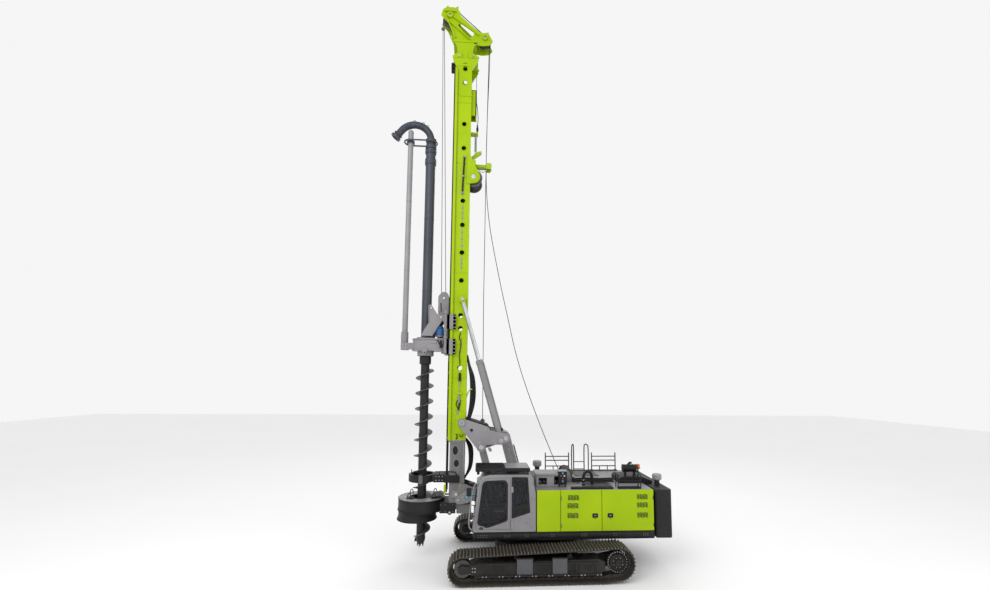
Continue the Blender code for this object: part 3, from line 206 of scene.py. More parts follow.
def material(name, base, tint, rough=(0.35, 0.5), metallic=0.0, coat=0.0, cloud=1.5, grain=60.0, bump=0.05,
        dust=0.0, dust_colour=(0.22, 0.18, 0.13), dust_height=(0.2, 3.0), wear=None, stretch=None,
        gloss=0.35):
    """A finish whose colour drifts from base to tint, with grain in its relief, and dust that
    gathers low down and on faces that look up. wear is the colour of rubbed edges and patches."""
    made = bpy.data.materials.new(name)
    made.use_nodes = True
    tree = made.node_tree
    shader = tree.nodes["Principled BSDF"]
    place = node(tree, "ShaderNodeTexCoord").outputs["Object"]
    colour = mixed(tree, noise(tree, place, cloud, 5.0, stretch=stretch), base, tint)
    fine = noise(tree, place, grain, 3.0, 0.3, 0.7, stretch)
    if wear:
        rubbed = node(tree, "ShaderNodeNewGeometry").outputs["Pointiness"]
        edge = node(tree, "ShaderNodeMapRange", From_Min=EDGE_WEAR[0], From_Max=EDGE_WEAR[1])
        tree.links.new(rubbed, edge.inputs["Value"])
        patch = times(tree, noise(tree, place, 9.0, 6.0, 0.50, 0.68), 0.7)
        both = node(tree, "ShaderNodeMath", operation="MAXIMUM")
        tree.links.new(edge.outputs["Result"], both.inputs[0])
        tree.links.new(patch, both.inputs[1])
        colour = mixed(tree, both.outputs["Value"], colour, wear)
    if dust:
        split = node(tree, "ShaderNodeSeparateXYZ")
        tree.links.new(place, split.inputs["Vector"])
        height = node(tree, "ShaderNodeMapRange", From_Min=dust_height[1], From_Max=dust_height[0])
        tree.links.new(split.outputs["Z"], height.inputs["Value"])
        facing = node(tree, "ShaderNodeSeparateXYZ")
        tree.links.new(node(tree, "ShaderNodeNewGeometry").outputs["Normal"], facing.inputs["Vector"])
        upward = node(tree, "ShaderNodeMapRange", From_Min=-0.2, From_Max=1.0, To_Min=0.35, To_Max=1.0)
        tree.links.new(facing.outputs["Z"], upward.inputs["Value"])
        amount = times(tree, times(tree, height.outputs["Result"], upward.outputs["Result"]), dust)
        amount = times(tree, amount, noise(tree, place, 4.0, 7.0, 0.38, 0.62))
        colour = mixed(tree, amount, colour, dust_colour)
    tree.links.new(colour, shader.inputs["Base Color"])
    dull = node(tree, "ShaderNodeMapRange", To_Min=rough[0], To_Max=rough[1])
    tree.links.new(noise(tree, place, 7.0, 4.0), dull.inputs["Value"])
    tree.links.new(dull.outputs["Result"], shader.inputs["Roughness"])
    relief = node(tree, "ShaderNodeBump", Strength=bump, Distance=0.01)
    tree.links.new(fine, relief.inputs["Height"])
    tree.links.new(relief.outputs["Normal"], shader.inputs["Normal"])
    shader.inputs["Metallic"].default_value = metallic
    shader.inputs["Specular IOR Level"].default_value = gloss
    shader.inputs["Coat Weight"].default_value = coat
    shader.inputs["Coat Roughness"].default_value = COAT_ROUGHNESS
    return made


def glass(name, opacity):
    """Tinted glass, see-through by the share that opacity leaves."""
    made = material(name, (0.004, 0.006, 0.008), (0.008, 0.011, 0.014), (0.03, 0.08), bump=0.0, cloud=2.2,
                    gloss=0.4)
    shader = made.node_tree.nodes["Principled BSDF"]
    shader.inputs["Alpha"].default_value = opacity
    shader.inputs["IOR"].default_value = GLASS_IOR
    return made


def strands(name, base, tint, scale, metallic):
    """Twisted wire or woven cloth: diagonal bands in the relief."""
    made = material(name, base, tint, (0.45, 0.6), metallic, cloud=9.0)
    tree = made.node_tree
    place = node(tree, "ShaderNodeTexCoord").outputs["Object"]
    wave = node(tree, "ShaderNodeTexWave", wave_type="BANDS", bands_direction="DIAGONAL", Scale=scale,
        Distortion=0.4)
    tree.links.new(place, wave.inputs["Vector"])
    relief = node(tree, "ShaderNodeBump", Strength=0.5, Distance=0.004)
    tree.links.new(wave.outputs["Fac"], relief.inputs["Height"])
    tree.links.new(relief.outputs["Normal"], tree.nodes["Principled BSDF"].inputs["Normal"])
    return made


LIME = material("lime", (0.295, 0.435, 0.0004), (0.335, 0.480, 0.0010), (0.32, 0.44), 0, 0.05, 0.8, 90, 0.025,
                dust=0.06, dust_height=(0.8, 4.0), gloss=0.13)
GREY = material("warm_grey", (0.205, 0.198, 0.208), (0.245, 0.235, 0.245), (0.36, 0.50), 0, 0.06, 1.3, 80,
    0.04, dust=0.10, dust_height=(0.6, 4.0), gloss=0.25)
MID_GREY = material("mid_grey", (0.125, 0.122, 0.125), (0.165, 0.160, 0.162), (0.38, 0.52), 0, 0.05, 1.3, 80,
    0.05, dust=0.12, wear=(0.20, 0.195, 0.19), gloss=0.25)
DARK_GREY = material("shadow_grey", (0.055, 0.053, 0.056), (0.080, 0.077, 0.080), (0.4, 0.55), 0, 0.0, 1.6,
    70, 0.05, dust=0.15, gloss=0.25)
PALE_GREY = material("pale_grey", (0.24, 0.245, 0.27), (0.30, 0.305, 0.33), (0.32, 0.46), 0.1, 0.05, 1.8, 70,
    0.04, dust=0.10, wear=(0.24, 0.235, 0.235), gloss=0.3)
CHARCOAL = material("charcoal", (0.0060, 0.0062, 0.0072), (0.0115, 0.0117, 0.0128), (0.42, 0.60), 0, 0.0, 1.5,
    75, 0.07, dust=0.12, dust_colour=(0.10, 0.085, 0.065), dust_height=(0.2, 2.2), gloss=0.28)
BLACK = material("black_metal", (0.0050, 0.0050, 0.0060), (0.011, 0.011, 0.012), (0.40, 0.58), 0, 0.0, 2.5,
    80, 0.06, dust=0.05, gloss=0.28)
RUBBER = material("rubber", (0.006, 0.006, 0.006), (0.013, 0.012, 0.012), (0.6, 0.8), 0, 0, 4, 120, 0.10,
    gloss=0.2)
TRACK = material("track_steel", (0.012, 0.0105, 0.009), (0.030, 0.025, 0.020), (0.5, 0.75), 0.25, 0, 5, 60,
    0.30, dust=0.55, dust_colour=(0.085, 0.065, 0.038), dust_height=(-1.5, 1.6), wear=(0.060, 0.055, 0.050),
    gloss=0.2)
TREAD = material("grouser_steel", (0.045, 0.042, 0.038), (0.135, 0.100, 0.050), (0.4, 0.7), 0.4, 0, 6, 60,
    0.30, wear=(0.20, 0.185, 0.16), gloss=0.3)
FRAME = material("track_frame", (0.0070, 0.0066, 0.0064), (0.016, 0.0142, 0.0125), (0.45, 0.65), 0, 0.0, 2.4,
    70, 0.14, dust=0.35, dust_colour=(0.055, 0.043, 0.030), dust_height=(-0.6, 1.3),
    wear=(0.032, 0.029, 0.026), gloss=0.25)
SLATE = material("blue_slate", (0.040, 0.045, 0.058), (0.062, 0.068, 0.085), (0.4, 0.55), 0.1, 0, 3, 70, 0.08,
                 dust=0.15, wear=(0.09, 0.09, 0.095), gloss=0.3)
STEEL = material("bright_steel", (0.36, 0.36, 0.37), (0.52, 0.52, 0.53), (0.22, 0.38), 0.85, 0, 6, 80, 0.05)
CHROME = material("chrome", (0.50, 0.52, 0.55), (0.60, 0.62, 0.65), (0.18, 0.26), 1.0, 0, 3, 60, 0.004)
WORN = material("worn", (0.048, 0.046, 0.048), (0.090, 0.086, 0.083), (0.38, 0.6), 0.5, 0, 5, 60, 0.15,
                dust=0.2, wear=(0.18, 0.17, 0.16), gloss=0.3)
PIPE = material("pipe_blue_grey", (0.020, 0.024, 0.036), (0.036, 0.042, 0.058), (0.34, 0.5), 0.1, 0.0, 2.2,
    70, 0.06, dust=0.10, wear=(0.075, 0.08, 0.095), stretch=(1, 1, 0.25), gloss=0.3)
AUGER = material("auger_steel", (0.0065, 0.0066, 0.0072), (0.015, 0.0148, 0.0150), (0.36, 0.6), 0.2, 0.0, 5,
    60, 0.20, dust=0.15, dust_height=(0.2, 6.0), dust_colour=(0.10, 0.085, 0.065), wear=(0.034, 0.034, 0.036),
    gloss=0.3)
FLIGHT = material("flight_steel", (0.045, 0.050, 0.062), (0.110, 0.115, 0.130), (0.30, 0.5), 0.35, 0.0, 5, 60,
    0.20, dust=0.15, dust_height=(0.2, 6.0), wear=(0.15, 0.15, 0.155), gloss=0.4)
BLUE = material("blue", (0.015, 0.10, 0.27), (0.028, 0.14, 0.35), (0.3, 0.45), 0, 0.1, 3, 80, 0.05, dust=0.1)
SKY = material("light_blue", (0.12, 0.27, 0.38), (0.18, 0.36, 0.47), (0.3, 0.45), 0, 0.1, 8, 80, 0.05)
TAN = material("tan_dirt", (0.25, 0.18, 0.06), (0.33, 0.25, 0.11), (0.5, 0.7), 0, 0, 8, 80, 0.15)
HOSE_YELLOW = material("yellow_hose", (0.28, 0.20, 0.03), (0.38, 0.29, 0.08), (0.4, 0.55), 0, 0.05, 8, 90,
    0.06)
AMBER = material("amber", (0.62, 0.13, 0.01), (0.78, 0.20, 0.015), (0.15, 0.3), 0, 0.2, 8, 80, 0.02)
RED = material("red", (0.40, 0.02, 0.02), (0.50, 0.04, 0.04), (0.3, 0.4), 0, 0.1, 8, 80, 0.02)
WHITE = material("white", (0.50, 0.50, 0.50), (0.60, 0.60, 0.60), (0.3, 0.45), 0, 0.1, 5, 80, 0.03)
GLASS = glass("cab_glass_pane", 0.52)
FAR_GLASS = glass("tinted_glass_pane", 0.94)
ROPE = strands("rope_lay", (0.040, 0.040, 0.046), (0.085, 0.085, 0.090), 38.0, 0.5)
FABRIC = strands("seat_cloth", (0.015, 0.085, 0.42), (0.03, 0.12, 0.52), 120.0, 0.0)
MESH = strands("guard_mesh", (0.013, 0.013, 0.015), (0.030, 0.030, 0.033), 24.0, 0.2)


# ---------------------------------------------------------------- mesh builder
SMOOTH_ANGLE = radians(35)
BEVEL_ANGLE = radians(40)
WELD = 0.00005
FLAT_ANGLE = 0.01


def across(direction):
    """Two unit vectors at right angles to a direction and to each other."""
    side = Vector((0, 1, 0)) if abs(direction.y) < 0.9 else Vector((1, 0, 0))
    first = direction.cross(side).normalized()
    return first, direction.cross(first).normalized()


class Build:
    """Collects closed shapes in several materials, and makes them one piece."""

    def __init__(self, material=GREY):
        self.points, self.faces, self.marks, self.materials = [], [], [], []
        self.use(material)

    def use(self, material):
        """The material of the shapes added from here on."""
        if material not in self.materials:
            self.materials.append(material)
        self.mark = self.materials.index(material)
        return self

    def add(self, points, faces):
        """One closed shape, turned to face outwards by the sign of its volume."""
        points = [Vector(p) for p in points]
        volume = 0.0
        for face in faces:
            for i in range(1, len(face) - 1):
                volume += points[face[0]].dot(points[face[i]].cross(points[face[i + 1]]))
        start = len(self.points)
        self.points += points
        for face in faces:
            face = [start + i for i in face]
            self.faces.append(face if volume > 0 else face[::-1])
            self.marks.append(self.mark)
        return self

    def box(self, low, high, turn=0.0):
        """A box between two corners in any order, turned about the Y axis by an angle in degrees."""
        low, high = Vector(map(min, low, high)), Vector(map(max, low, high))
        middle = (low + high) / 2
        spin = Matrix.Rotation(radians(turn), 3, "Y")
        points = [middle + spin @ (Vector((x, y, z)) - middle)
                  for x in (low.x, high.x) for y in (low.y, high.y) for z in (low.z, high.z)]
        return self.add(points, [(0, 1, 3, 2), (4, 6, 7, 5), (0, 4, 5, 1), (2, 3, 7, 6), (0, 2, 6, 4),
            (1, 5, 7, 3)])

    def rod(self, a, b, radius, end_radius=None, sides=16):
        """A round bar or cone between two points."""
        a, b = Vector(a), Vector(b)
        u, v = across((b - a).normalized())
        end = radius if end_radius is None else end_radius
        turns = [2 * pi * i / sides for i in range(sides)]
        points = [p + u * r * cos(t) + v * r * sin(t) for p, r in ((a, radius), (b, end)) for t in turns]
        walls = [(i, (i + 1) % sides, sides + (i + 1) % sides, sides + i) for i in range(sides)]
        return self.add(points, [*walls, tuple(range(sides))[::-1], tuple(range(sides, 2 * sides))])

    def bar(self, place, y0, y1, radius, end_radius=None, sides=16):
        """A round bar along Y at an (x, z) place."""
        x, z = place
        return self.rod((x, y0, z), (x, y1, z), radius, end_radius, sides)

    def post(self, place, z0, z1, radius, end_radius=None, sides=16):
        """A round bar along Z at an (x, y) place."""
        return self.rod((*place, z0), (*place, z1), radius, end_radius, sides)

    def pin(self, place, half, radius, sides=16, y=0.0):
        """A bar along Y that reaches half of its length to each side of y."""
        return self.bar(place, y - half, y + half, radius, sides=sides)

    def tube(self, line, radius, sides=8, closed=False):
        """A round bar or hose along a line of points."""
        line = [Vector(p) for p in line]
        count = len(line)
        points = []
        u = None
        for i, here in enumerate(line):
            ahead = line[(i + 1) % count] if closed or i < count - 1 else here
            behind = line[i - 1] if closed or i else here
            direction = (ahead - behind).normalized()
            u = across(direction)[0] if u is None else (u - direction * u.dot(direction)).normalized()
            v = direction.cross(u)
            points += [here + (u * cos(t) + v * sin(t)) * radius
                       for t in (2 * pi * j / sides for j in range(sides))]
        faces = []
        for i in range(count if closed else count - 1):
            one, two = i * sides, (i + 1) % count * sides
            faces += [(one + j, one + (j + 1) % sides, two + (j + 1) % sides, two + j) for j in range(sides)]
        if not closed:
            faces += [tuple(range(sides))[::-1], tuple(range((count - 1) * sides, count * sides))]
        return self.add(points, faces)

    def sheet(self, outlines, low, high, place):
        """An outline with holes, drawn in a plane and made solid between low and high."""
        loops = [[Vector((a, b, 0)) for a, b in outline] for outline in outlines]
        flat = [p for loop in loops for p in loop]
        triangles = tessellate_polygon(loops)
        count = len(flat)
        points = [place(p.x, p.y, depth) for depth in (low, high) for p in flat]
        faces = [tuple(t) for t in triangles] + [tuple(count + i for i in t)[::-1] for t in triangles]
        start = 0
        total = 0.0
        for t in triangles:
            total += (flat[t[1]] - flat[t[0]]).cross(flat[t[2]] - flat[t[0]]).z
        for number, loop in enumerate(loops):
            n = len(loop)
            area = sum(loop[i - 1].x * loop[i].y - loop[i].x * loop[i - 1].y for i in range(n))
            forward = (area > 0) == (total > 0)
            if number:
                forward = not forward
            for i in range(n):
                a, b = start + i, start + (i + 1) % n
                wall = (a, count + a, count + b, b)
                faces.append(wall if forward else wall[::-1])
            start += n
        return self.add(points, faces)

    def plate(self, outlines, *ys):
        """Outlines of (x, z) points made solid between two ys: an edge, and then any holes."""
        outlines = outlines if isinstance(outlines[0][0], (list, tuple)) else [outlines]
        return self.sheet(outlines, *sorted(ys), lambda x, z, y: Vector((x, y, z)))

    def slab(self, outlines, z_low, z_high):
        """Outlines of (x, y) points made solid along Z."""
        outlines = outlines if isinstance(outlines[0][0], (list, tuple)) else [outlines]
        return self.sheet(outlines, z_low, z_high, lambda x, y, z: Vector((x, y, z)))

    def lathe(self, profile, centre, axis=UP, sides=24):
        """A closed profile of (radius, height) points turned about an axis."""
        centre, axis = Vector(centre), Vector(axis).normalized()
        u, v = across(axis)
        count = len(profile)
        points = [centre + axis * h + (u * cos(t) + v * sin(t)) * r
                  for t in (2 * pi * i / sides for i in range(sides)) for r, h in profile]
        faces = []
        for i in range(sides):
            one, two = i * count, (i + 1) % sides * count
            faces += [(one + j, one + (j + 1) % count, two + (j + 1) % count, two + j) for j in range(count)]
        return self.add(points, faces)

    def turn(self, profile, centre, axis=UP, sides=24):
        """A solid turned piece: a profile of (radius, height) points that closes on the axis."""
        core = [(0.0005, profile[-1][1]), (0.0005, profile[0][1])]
        return self.lathe([*profile, *core], centre, axis, sides)

    def ring(self, centre, axis, radius, thick, height, sides=24):
        """A flat ring from radius inwards by thick, standing height along the axis."""
        inside = radius - thick
        return self.lathe([(radius, 0), (radius, height), (inside, height), (inside, 0)], centre, axis, sides)

    def dome(self, centre, axis, radius, height, sides=16):
        """A rounded cap that stands on a round end."""
        rings = [(radius * cos(t), height * sin(t)) for t in (0.0, 0.45, 0.9, 1.3)]
        return self.lathe([*rings, (0.0005, height), (0.0005, 0)], centre, axis, sides)

    def bolt(self, place, axis=LEFT, size=0.018, height=0.012):
        """A hexagon head on a round washer."""
        place, axis = Vector(place), Vector(axis).normalized()
        self.rod(place, place + axis * height * 0.3, size * 1.35, sides=12)
        return self.rod(place, place + axis * height, size, size * 0.92, sides=6)

    def bolt_ring(self, place, y, reach, turns, sign, size, height):
        """Bolts round an (x, z) place, on a face that looks along Y."""
        return self.bolts([(x, y, z) for x, z in (orbit(place, reach, turn) for turn in turns)], (0, sign, 0),
                          size, height)

    def bolt_crown(self, place, z, reach, turns, size, height):
        """Bolts round an (x, y) place, on a face that looks up."""
        return self.bolts([(*orbit(place, reach, turn), z) for turn in turns], UP, size, height)

    def bolts(self, places, axis=LEFT, size=0.018, height=0.012):
        for place in places:
            self.bolt(place, axis, size, height)
        return self

    def done(self, name, body, slot, replaces=(), bevel=0.0, segments=2):
        """Makes the piece, in the CAD's frame and riding on its body."""
        mesh = bpy.data.meshes.new(name)
        mesh.from_pydata([p + SHIFT for p in self.points], [], self.faces)
        mesh.polygons.foreach_set("material_index", self.marks)
        for used in self.materials:
            mesh.materials.append(used)
        return finish(name, mesh, body, replaces, bevel, segments)


def finish(name, mesh, body, replaces=(), bevel=0.0, segments=2):
    """Makes a mesh a piece: shading, rounded edges, the body it rides on and what it replaces."""
    mesh.polygons.foreach_set("use_smooth", [True] * len(mesh.polygons))
    mesh.set_sharp_from_angle(angle=SMOOTH_ANGLE)
    mesh.update()
    made = bpy.data.objects.new(name, mesh)
    bpy.context.scene.collection.objects.link(made)
    if bevel:
        edge = made.modifiers.new("edge", "BEVEL")
        edge.width = bevel
        edge.segments = segments
        edge.limit_method = "ANGLE"
        edge.angle_limit = BEVEL_ANGLE
        edge.harden_normals = True
    if body:
        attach(made, body)
    if replaces:
        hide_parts(*replaces)
    return made


def clad(cad, name, material, bevel=0.006, segments=2):
    """A CAD node's own shape with its edges rounded and a finished material, in place of the node."""
    source = frame["nodes"][cad]
    mesh = source.data.copy()
    mesh.name = name
    if "custom_normal" in mesh.attributes:
        mesh.attributes.remove(mesh.attributes["custom_normal"])
    shape = bmesh_of(mesh)
    shape.to_mesh(mesh)
    shape.free()
    mesh.materials.clear()
    mesh.materials.append(material)
    return finish(name, mesh, source["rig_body"], (cad,), bevel, segments)


def bmesh_of(mesh):
    """The mesh with its seams welded and its flat faces joined."""
    shape = bmesh.new()
    shape.from_mesh(mesh)
    bmesh.ops.remove_doubles(shape, verts=shape.verts, dist=WELD)
    bmesh.ops.dissolve_limit(shape, angle_limit=FLAT_ANGLE, verts=shape.verts, edges=shape.edges)
    return shape


def hull(points):
    """The convex outline of some flat points, anticlockwise."""
    points = sorted(set(points))

    def half(ordered):
        chain = []
        for p in ordered:
            while len(chain) > 1 and ((chain[-1][0] - chain[-2][0]) * (p[1] - chain[-2][1])
                                      <= (chain[-1][1] - chain[-2][1]) * (p[0] - chain[-2][0])):
                chain.pop()
            chain.append(p)
        return chain[:-1]

    return half(points) + half(points[::-1])


def around(count, start=0.0):
    """Angles evenly spaced over a full turn."""
    return [start + 2 * pi * i / count for i in range(count)]


def orbit(centre, radius, turn):
    """The point at an angle on a flat circle."""
    return centre[0] + radius * cos(turn), centre[1] + radius * sin(turn)


def oval(x, z, wide, tall, sides=28):
    """Points round an ellipse with these half sizes."""
    return [(x + wide * cos(turn), z + tall * sin(turn)) for turn in around(sides)]


def circle(x, z, radius, sides=20):
    return oval(x, z, radius, radius, sides)


def smooth(points, steps):
    """A curve through all the points, in any number of dimensions."""
    ends = [points[0], *points, points[-1]]
    curve = []
    for a, b, c, d in zip(ends, ends[1:], ends[2:], ends[3:]):
        for i in range(steps):
            t = i / steps
            curve.append(tuple(0.5 * (2 * q + (r - p) * t + (2 * p - 5 * q + 4 * r - s) * t ** 2
                                      + (3 * q - p - 3 * r + s) * t ** 3) for p, q, r, s in zip(a, b, c, d)))
    return [*curve, tuple(points[-1])]


def shrink(outline, distance):
    """A convex outline moved inwards, or outwards where distance is below zero."""
    area = sum(a[0] * b[1] - b[0] * a[1] for a, b in zip(outline, outline[1:] + outline[:1]))
    sign = 1 if area > 0 else -1
    moved = []
    for i, here in enumerate(outline):
        before, after = outline[i - 1], outline[(i + 1) % len(outline)]
        u = (Vector(here) - Vector(before)).normalized()
        v = (Vector(after) - Vector(here)).normalized()
        nu, nv = Vector((-u.y, u.x)) * sign, Vector((-v.y, v.x)) * sign
        middle = (nu + nv).normalized()
        moved.append(tuple(Vector(here) + middle * (distance / max(0.3, middle.dot(nu)))))
    return moved


def rounded(outline, radius, steps=4):
    """An outline with its corners rounded off."""
    curve = []
    for i, here in enumerate(outline):
        here = Vector(here)
        before, after = Vector(outline[i - 1]), Vector(outline[(i + 1) % len(outline)])
        a = here + (before - here).normalized() * min(radius, (before - here).length * 0.45)
        b = here + (after - here).normalized() * min(radius, (after - here).length * 0.45)
        for k in range(steps + 1):
            t = k / steps
            curve.append(tuple(a * (1 - t) ** 2 + here * (2 * t * (1 - t)) + b * t ** 2))
    return curve


# ---------------------------------------------------------------- slack auxiliary rope
ROPE_RADIUS = 0.012
ROPE_ROUTE = [(-1.617, 17.72), (-1.617, 17.00), (-1.64, 16.10), (-1.67, 15.10), (-1.69, 13.70),
    (-1.67, 12.24), (-1.52, 10.81), (-1.19, 9.10), (-0.90, 7.80), (-0.62, 6.60), (-0.28, 5.50), (0.18, 4.27),
    (0.58, 3.30), (0.80, 2.79), (0.887, 2.60)]


def auxiliary_rope():
    """The slack rope from the head's rear wheel to the winch on the deck: its whole length is drawn."""
    path = [(x, 0.0, z) for x, z in smooth(ROPE_ROUTE, 12)]
    rope = Build(ROPE).tube(path, ROPE_RADIUS, 8).done("auxiliary_rope_strand", None, "wire_rope",
        ("auxiliary_rope",))
    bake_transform(rope)


auxiliary_rope()


# ---------------------------------------------------------------- tracks
def belt(count):
    """Evenly spaced places along the shoes' outer face, each with its outward direction."""
    wheels = (IDLER, SPROCKET, *CARRIERS, *ROLLERS)
    loop = hull([point for x, z, radius in wheels for point in circle(x, z, radius, 96)])
    ends = list(zip(loop, loop[1:] + loop[:1]))
    lengths = [dist(a, b) for a, b in ends]
    step = sum(lengths) / count
    found, travelled, index = [], 0.0, 0
    for i in range(count):
        while travelled + lengths[index] < i * step:
            travelled += lengths[index]
            index += 1
        (ax, az), (bx, bz) = ends[index]
        share = (i * step - travelled) / lengths[index]
        found.append((Vector((ax + share * (bx - ax), 0, az + share * (bz - az))),
                      Vector((bz - az, 0, ax - bx)).normalized()))
    return found, step


def shoes(side, y):
    """One belt: shoe plates with their bolts, two grouser bars each, and the chain behind them."""
    places, pitch = belt(SHOE_COUNT)
    plates, bars, links = Build(TRACK), Build(TREAD), Build(TRACK)
    half = SHOE_WIDTH / 2

    def piece(build, middle, out, along, profile, y_low, y_high):
        """A bar across the track whose section is drawn along the belt and outwards from it."""
        points = [middle + along * a + out * b + Vector((0, yy, 0))
                  for yy in (y_low, y_high) for a, b in profile]
        n = len(profile)
        walls = [(i, (i + 1) % n, n + (i + 1) % n, n + i) for i in range(n)]
        build.add(points, [*walls, tuple(range(n))[::-1], tuple(range(n, 2 * n))])

    for middle, out in places:
        along = Vector((out.z, 0, -out.x))
        reach = pitch * 0.47
        piece(plates, middle, out, along, [(-reach, -0.004), (reach, -0.004), (reach + 0.012, -0.020),
                                           (reach, -0.030), (-reach, -0.030), (-reach - 0.004, -0.016)],
              y - half, y + half)
        for place in (-0.24, 0.26):
            a = pitch * place
            piece(bars, middle, out, along, [(a - 0.017, -0.004), (a - 0.009, GROUSER - 0.004),
                                             (a + 0.007, GROUSER - 0.002), (a + 0.017, -0.004)],
                  y - half + 0.004, y + half - 0.004)
        for yy in (-0.10, 0.10):
            piece(links, middle, out, along, [(-reach, -0.030), (reach, -0.030), (reach * 1.05, -0.075),
                (reach * 0.7, -0.112), (-reach * 0.7, -0.112), (-reach * 1.05, -0.075)], y + yy - 0.022,
                y + yy + 0.022)
        joint = middle + along * (pitch / 2) - out * 0.078
        links.rod(joint + Vector((0, y - 0.15, 0)), joint + Vector((0, y + 0.15, 0)), 0.024, sides=10)
        for a in (-0.12, 0.12):
            for yy in (-0.17, 0.17):
                plates.bolt(middle + along * (pitch * a) + Vector((0, y + yy, 0)) - out * 0.004, out, 0.013,
                    0.012)
    plates.done(f"track_shoes_{side}", "undercarriage", "worn_steel", (f"track_{side}",), 0.003)
    bars.done(f"track_grousers_{side}", "undercarriage", "worn_steel", (), 0.003)
    links.done(f"track_chain_{side}", "undercarriage", "worn_steel")


def track_side(side, y):
    """The frame with its rollers, and on its outer face the ledge, steps and bolts, and thin black patches of
    painted shade where it has openings.
    """
    out = copysign(1, y)
    face = y + out * 0.25
    clad(f"track_frame_{side}", f"track_beam_{side}", FRAME, 0.008)
    extra = Build(FRAME)

    def strip(x0, z0, x1, z1, depth=0.022):
        """A flat bar on the frame's outer face."""
        extra.box((x0, min(face - out * 0.004, face + out * depth), z0),
            (x1, max(face, face + out * depth), z1))

    strip(-1.90, 0.245, 1.64, 0.275, 0.05)
    strip(-1.70, 0.570, 1.58, 0.595, 0.05)
    for x in (-1.55, -1.05, -0.55, 0.55, 1.05, 1.50):
        strip(x - 0.012, 0.275, x + 0.012, 0.570, 0.035)
    # Thin black patches on the face: painted shade standing in for the dark inside of the frame's openings.
    extra.use(BLACK)
    for x0, x1, z0, z1 in ((-0.15, 0.25, 0.35, 0.56), (0.77, 0.95, 0.34, 0.56), (-1.42, -1.10, 0.36, 0.52),
                           (1.16, 1.40, 0.36, 0.50)):
        strip(x0, z0, x1, z1, 0.006)
    extra.use(FRAME)
    for x0, x1, z0, z1 in ((0.74, 0.98, 0.31, 0.33), (0.74, 0.98, 0.565, 0.585), (-0.18, 0.28, 0.565, 0.585)):
        strip(x0, z0, x1, z1, 0.035)
    extra.use(SLATE)
    for x0, x1 in ((-0.72, -0.28), (0.28, 0.69)):
        strip(x0, 0.31, x1, 0.72, 0.060)
    extra.use(FRAME)
    for x0, x1 in ((-0.72, -0.28), (0.28, 0.69)):
        strip(x0 - 0.02, 0.715, x1 + 0.02, 0.735, 0.075)
        strip(x0 - 0.02, 0.295, x1 + 0.02, 0.313, 0.075)
    extra.use(STEEL)
    for i in range(ROLLER_COUNT):
        x = ROLLER_START + ROLLER_PITCH * i
        for dx in (-0.05, 0.05):
            extra.bolt((x + dx, face + out * 0.05, 0.260), (0, out, 0), 0.012, 0.010)
    for x in (-1.95, -1.88):
        extra.bolts([(x, face, 0.38), (x, face, 0.47)], (0, out, 0), 0.014, 0.012)
    extra.done(f"track_ledges_{side}", "undercarriage", "charcoal_paint", (), 0.004)

    wheels = Build(WORN)
    x, z = IDLER[:2]
    wheels.lathe([(0.236, -0.150), (0.236, -0.085), (0.10, -0.060), (0.10, -0.150)], (x, y, z), (0, out, 0),
        32)
    wheels.lathe([(0.236, 0.085), (0.236, 0.150), (0.10, 0.150), (0.10, 0.060)], (x, y, z), (0, out, 0), 32)
    wheels.bar((x, z), y + out * 0.15, y + out * 0.215, 0.075, 0.060, 20)
    wheels.bolt_ring((x, z), y + out * 0.213, 0.045, (0.5, 1.57, 2.6, 3.7, 4.7, 5.8), out, 0.008, 0.008)
    for i in range(ROLLER_COUNT):
        x = ROLLER_START + ROLLER_PITCH * i
        wheels.bar((x, 0.277), y + out * 0.20, y + out * 0.235, 0.055, 0.045, 18)
    wheels.done(f"track_wheels_{side}", "undercarriage", "worn_steel", (), 0.003)


def sprocket(side, y):
    """The toothed drive wheel, with its ring of bolts and the drive's hub and cover."""
    out = copysign(1, y)
    x, z, radius = SPROCKET
    reach = radius - BAND - 0.014
    teeth = []
    for i in range(18):
        for part, drop in ((0.0, 0.045), (0.22, 0.030), (0.38, 0.0), (0.62, 0.0), (0.78, 0.030)):
            turn = 2 * pi * (i + part) / 18
            teeth.append((x + (reach - drop) * cos(turn), z + (reach - drop) * sin(turn)))
    wheel = Build(WORN)
    wheel.plate([teeth, circle(x, z, 0.17, 32)], y - 0.045, y + 0.045)
    wheel.use(FRAME)
    profile = [(0.300, 0.03), (0.300, 0.135), (0.245, 0.150), (0.235, 0.195), (0.165, 0.210), (0.11, 0.215),
               (0.10, 0.255), (0.07, 0.268), (0.0005, 0.268), (0.0005, 0.03)]
    wheel.lathe(profile, (x, y, z), (0, out, 0), 40)
    wheel.bar((x, z), y - out * 0.13, y, 0.19, sides=24)
    wheel.use(STEEL)
    wheel.bolt_ring((x, z), y + out * 0.140, 0.276, around(24), out, 0.012, 0.014)
    wheel.bolt_ring((x, z), y + out * 0.210, 0.135, around(8, pi / 8), out, 0.009, 0.010)
    wheel.done(f"drive_sprocket_{side}", "undercarriage", "worn_steel", (f"sprocket_{side}",), 0.003)


for SIDE, SIGN in (("left", -1), ("right", 1)):
    shoes(SIDE, SIGN * TRACK_Y)
    track_side(SIDE, SIGN * TRACK_Y)
    sprocket(SIDE, SIGN * TRACK_Y)
clad("car_body", "car_body_frame", FRAME, 0.015)
clad("slew_ring", "slew_bearing", WORN, 0.004)


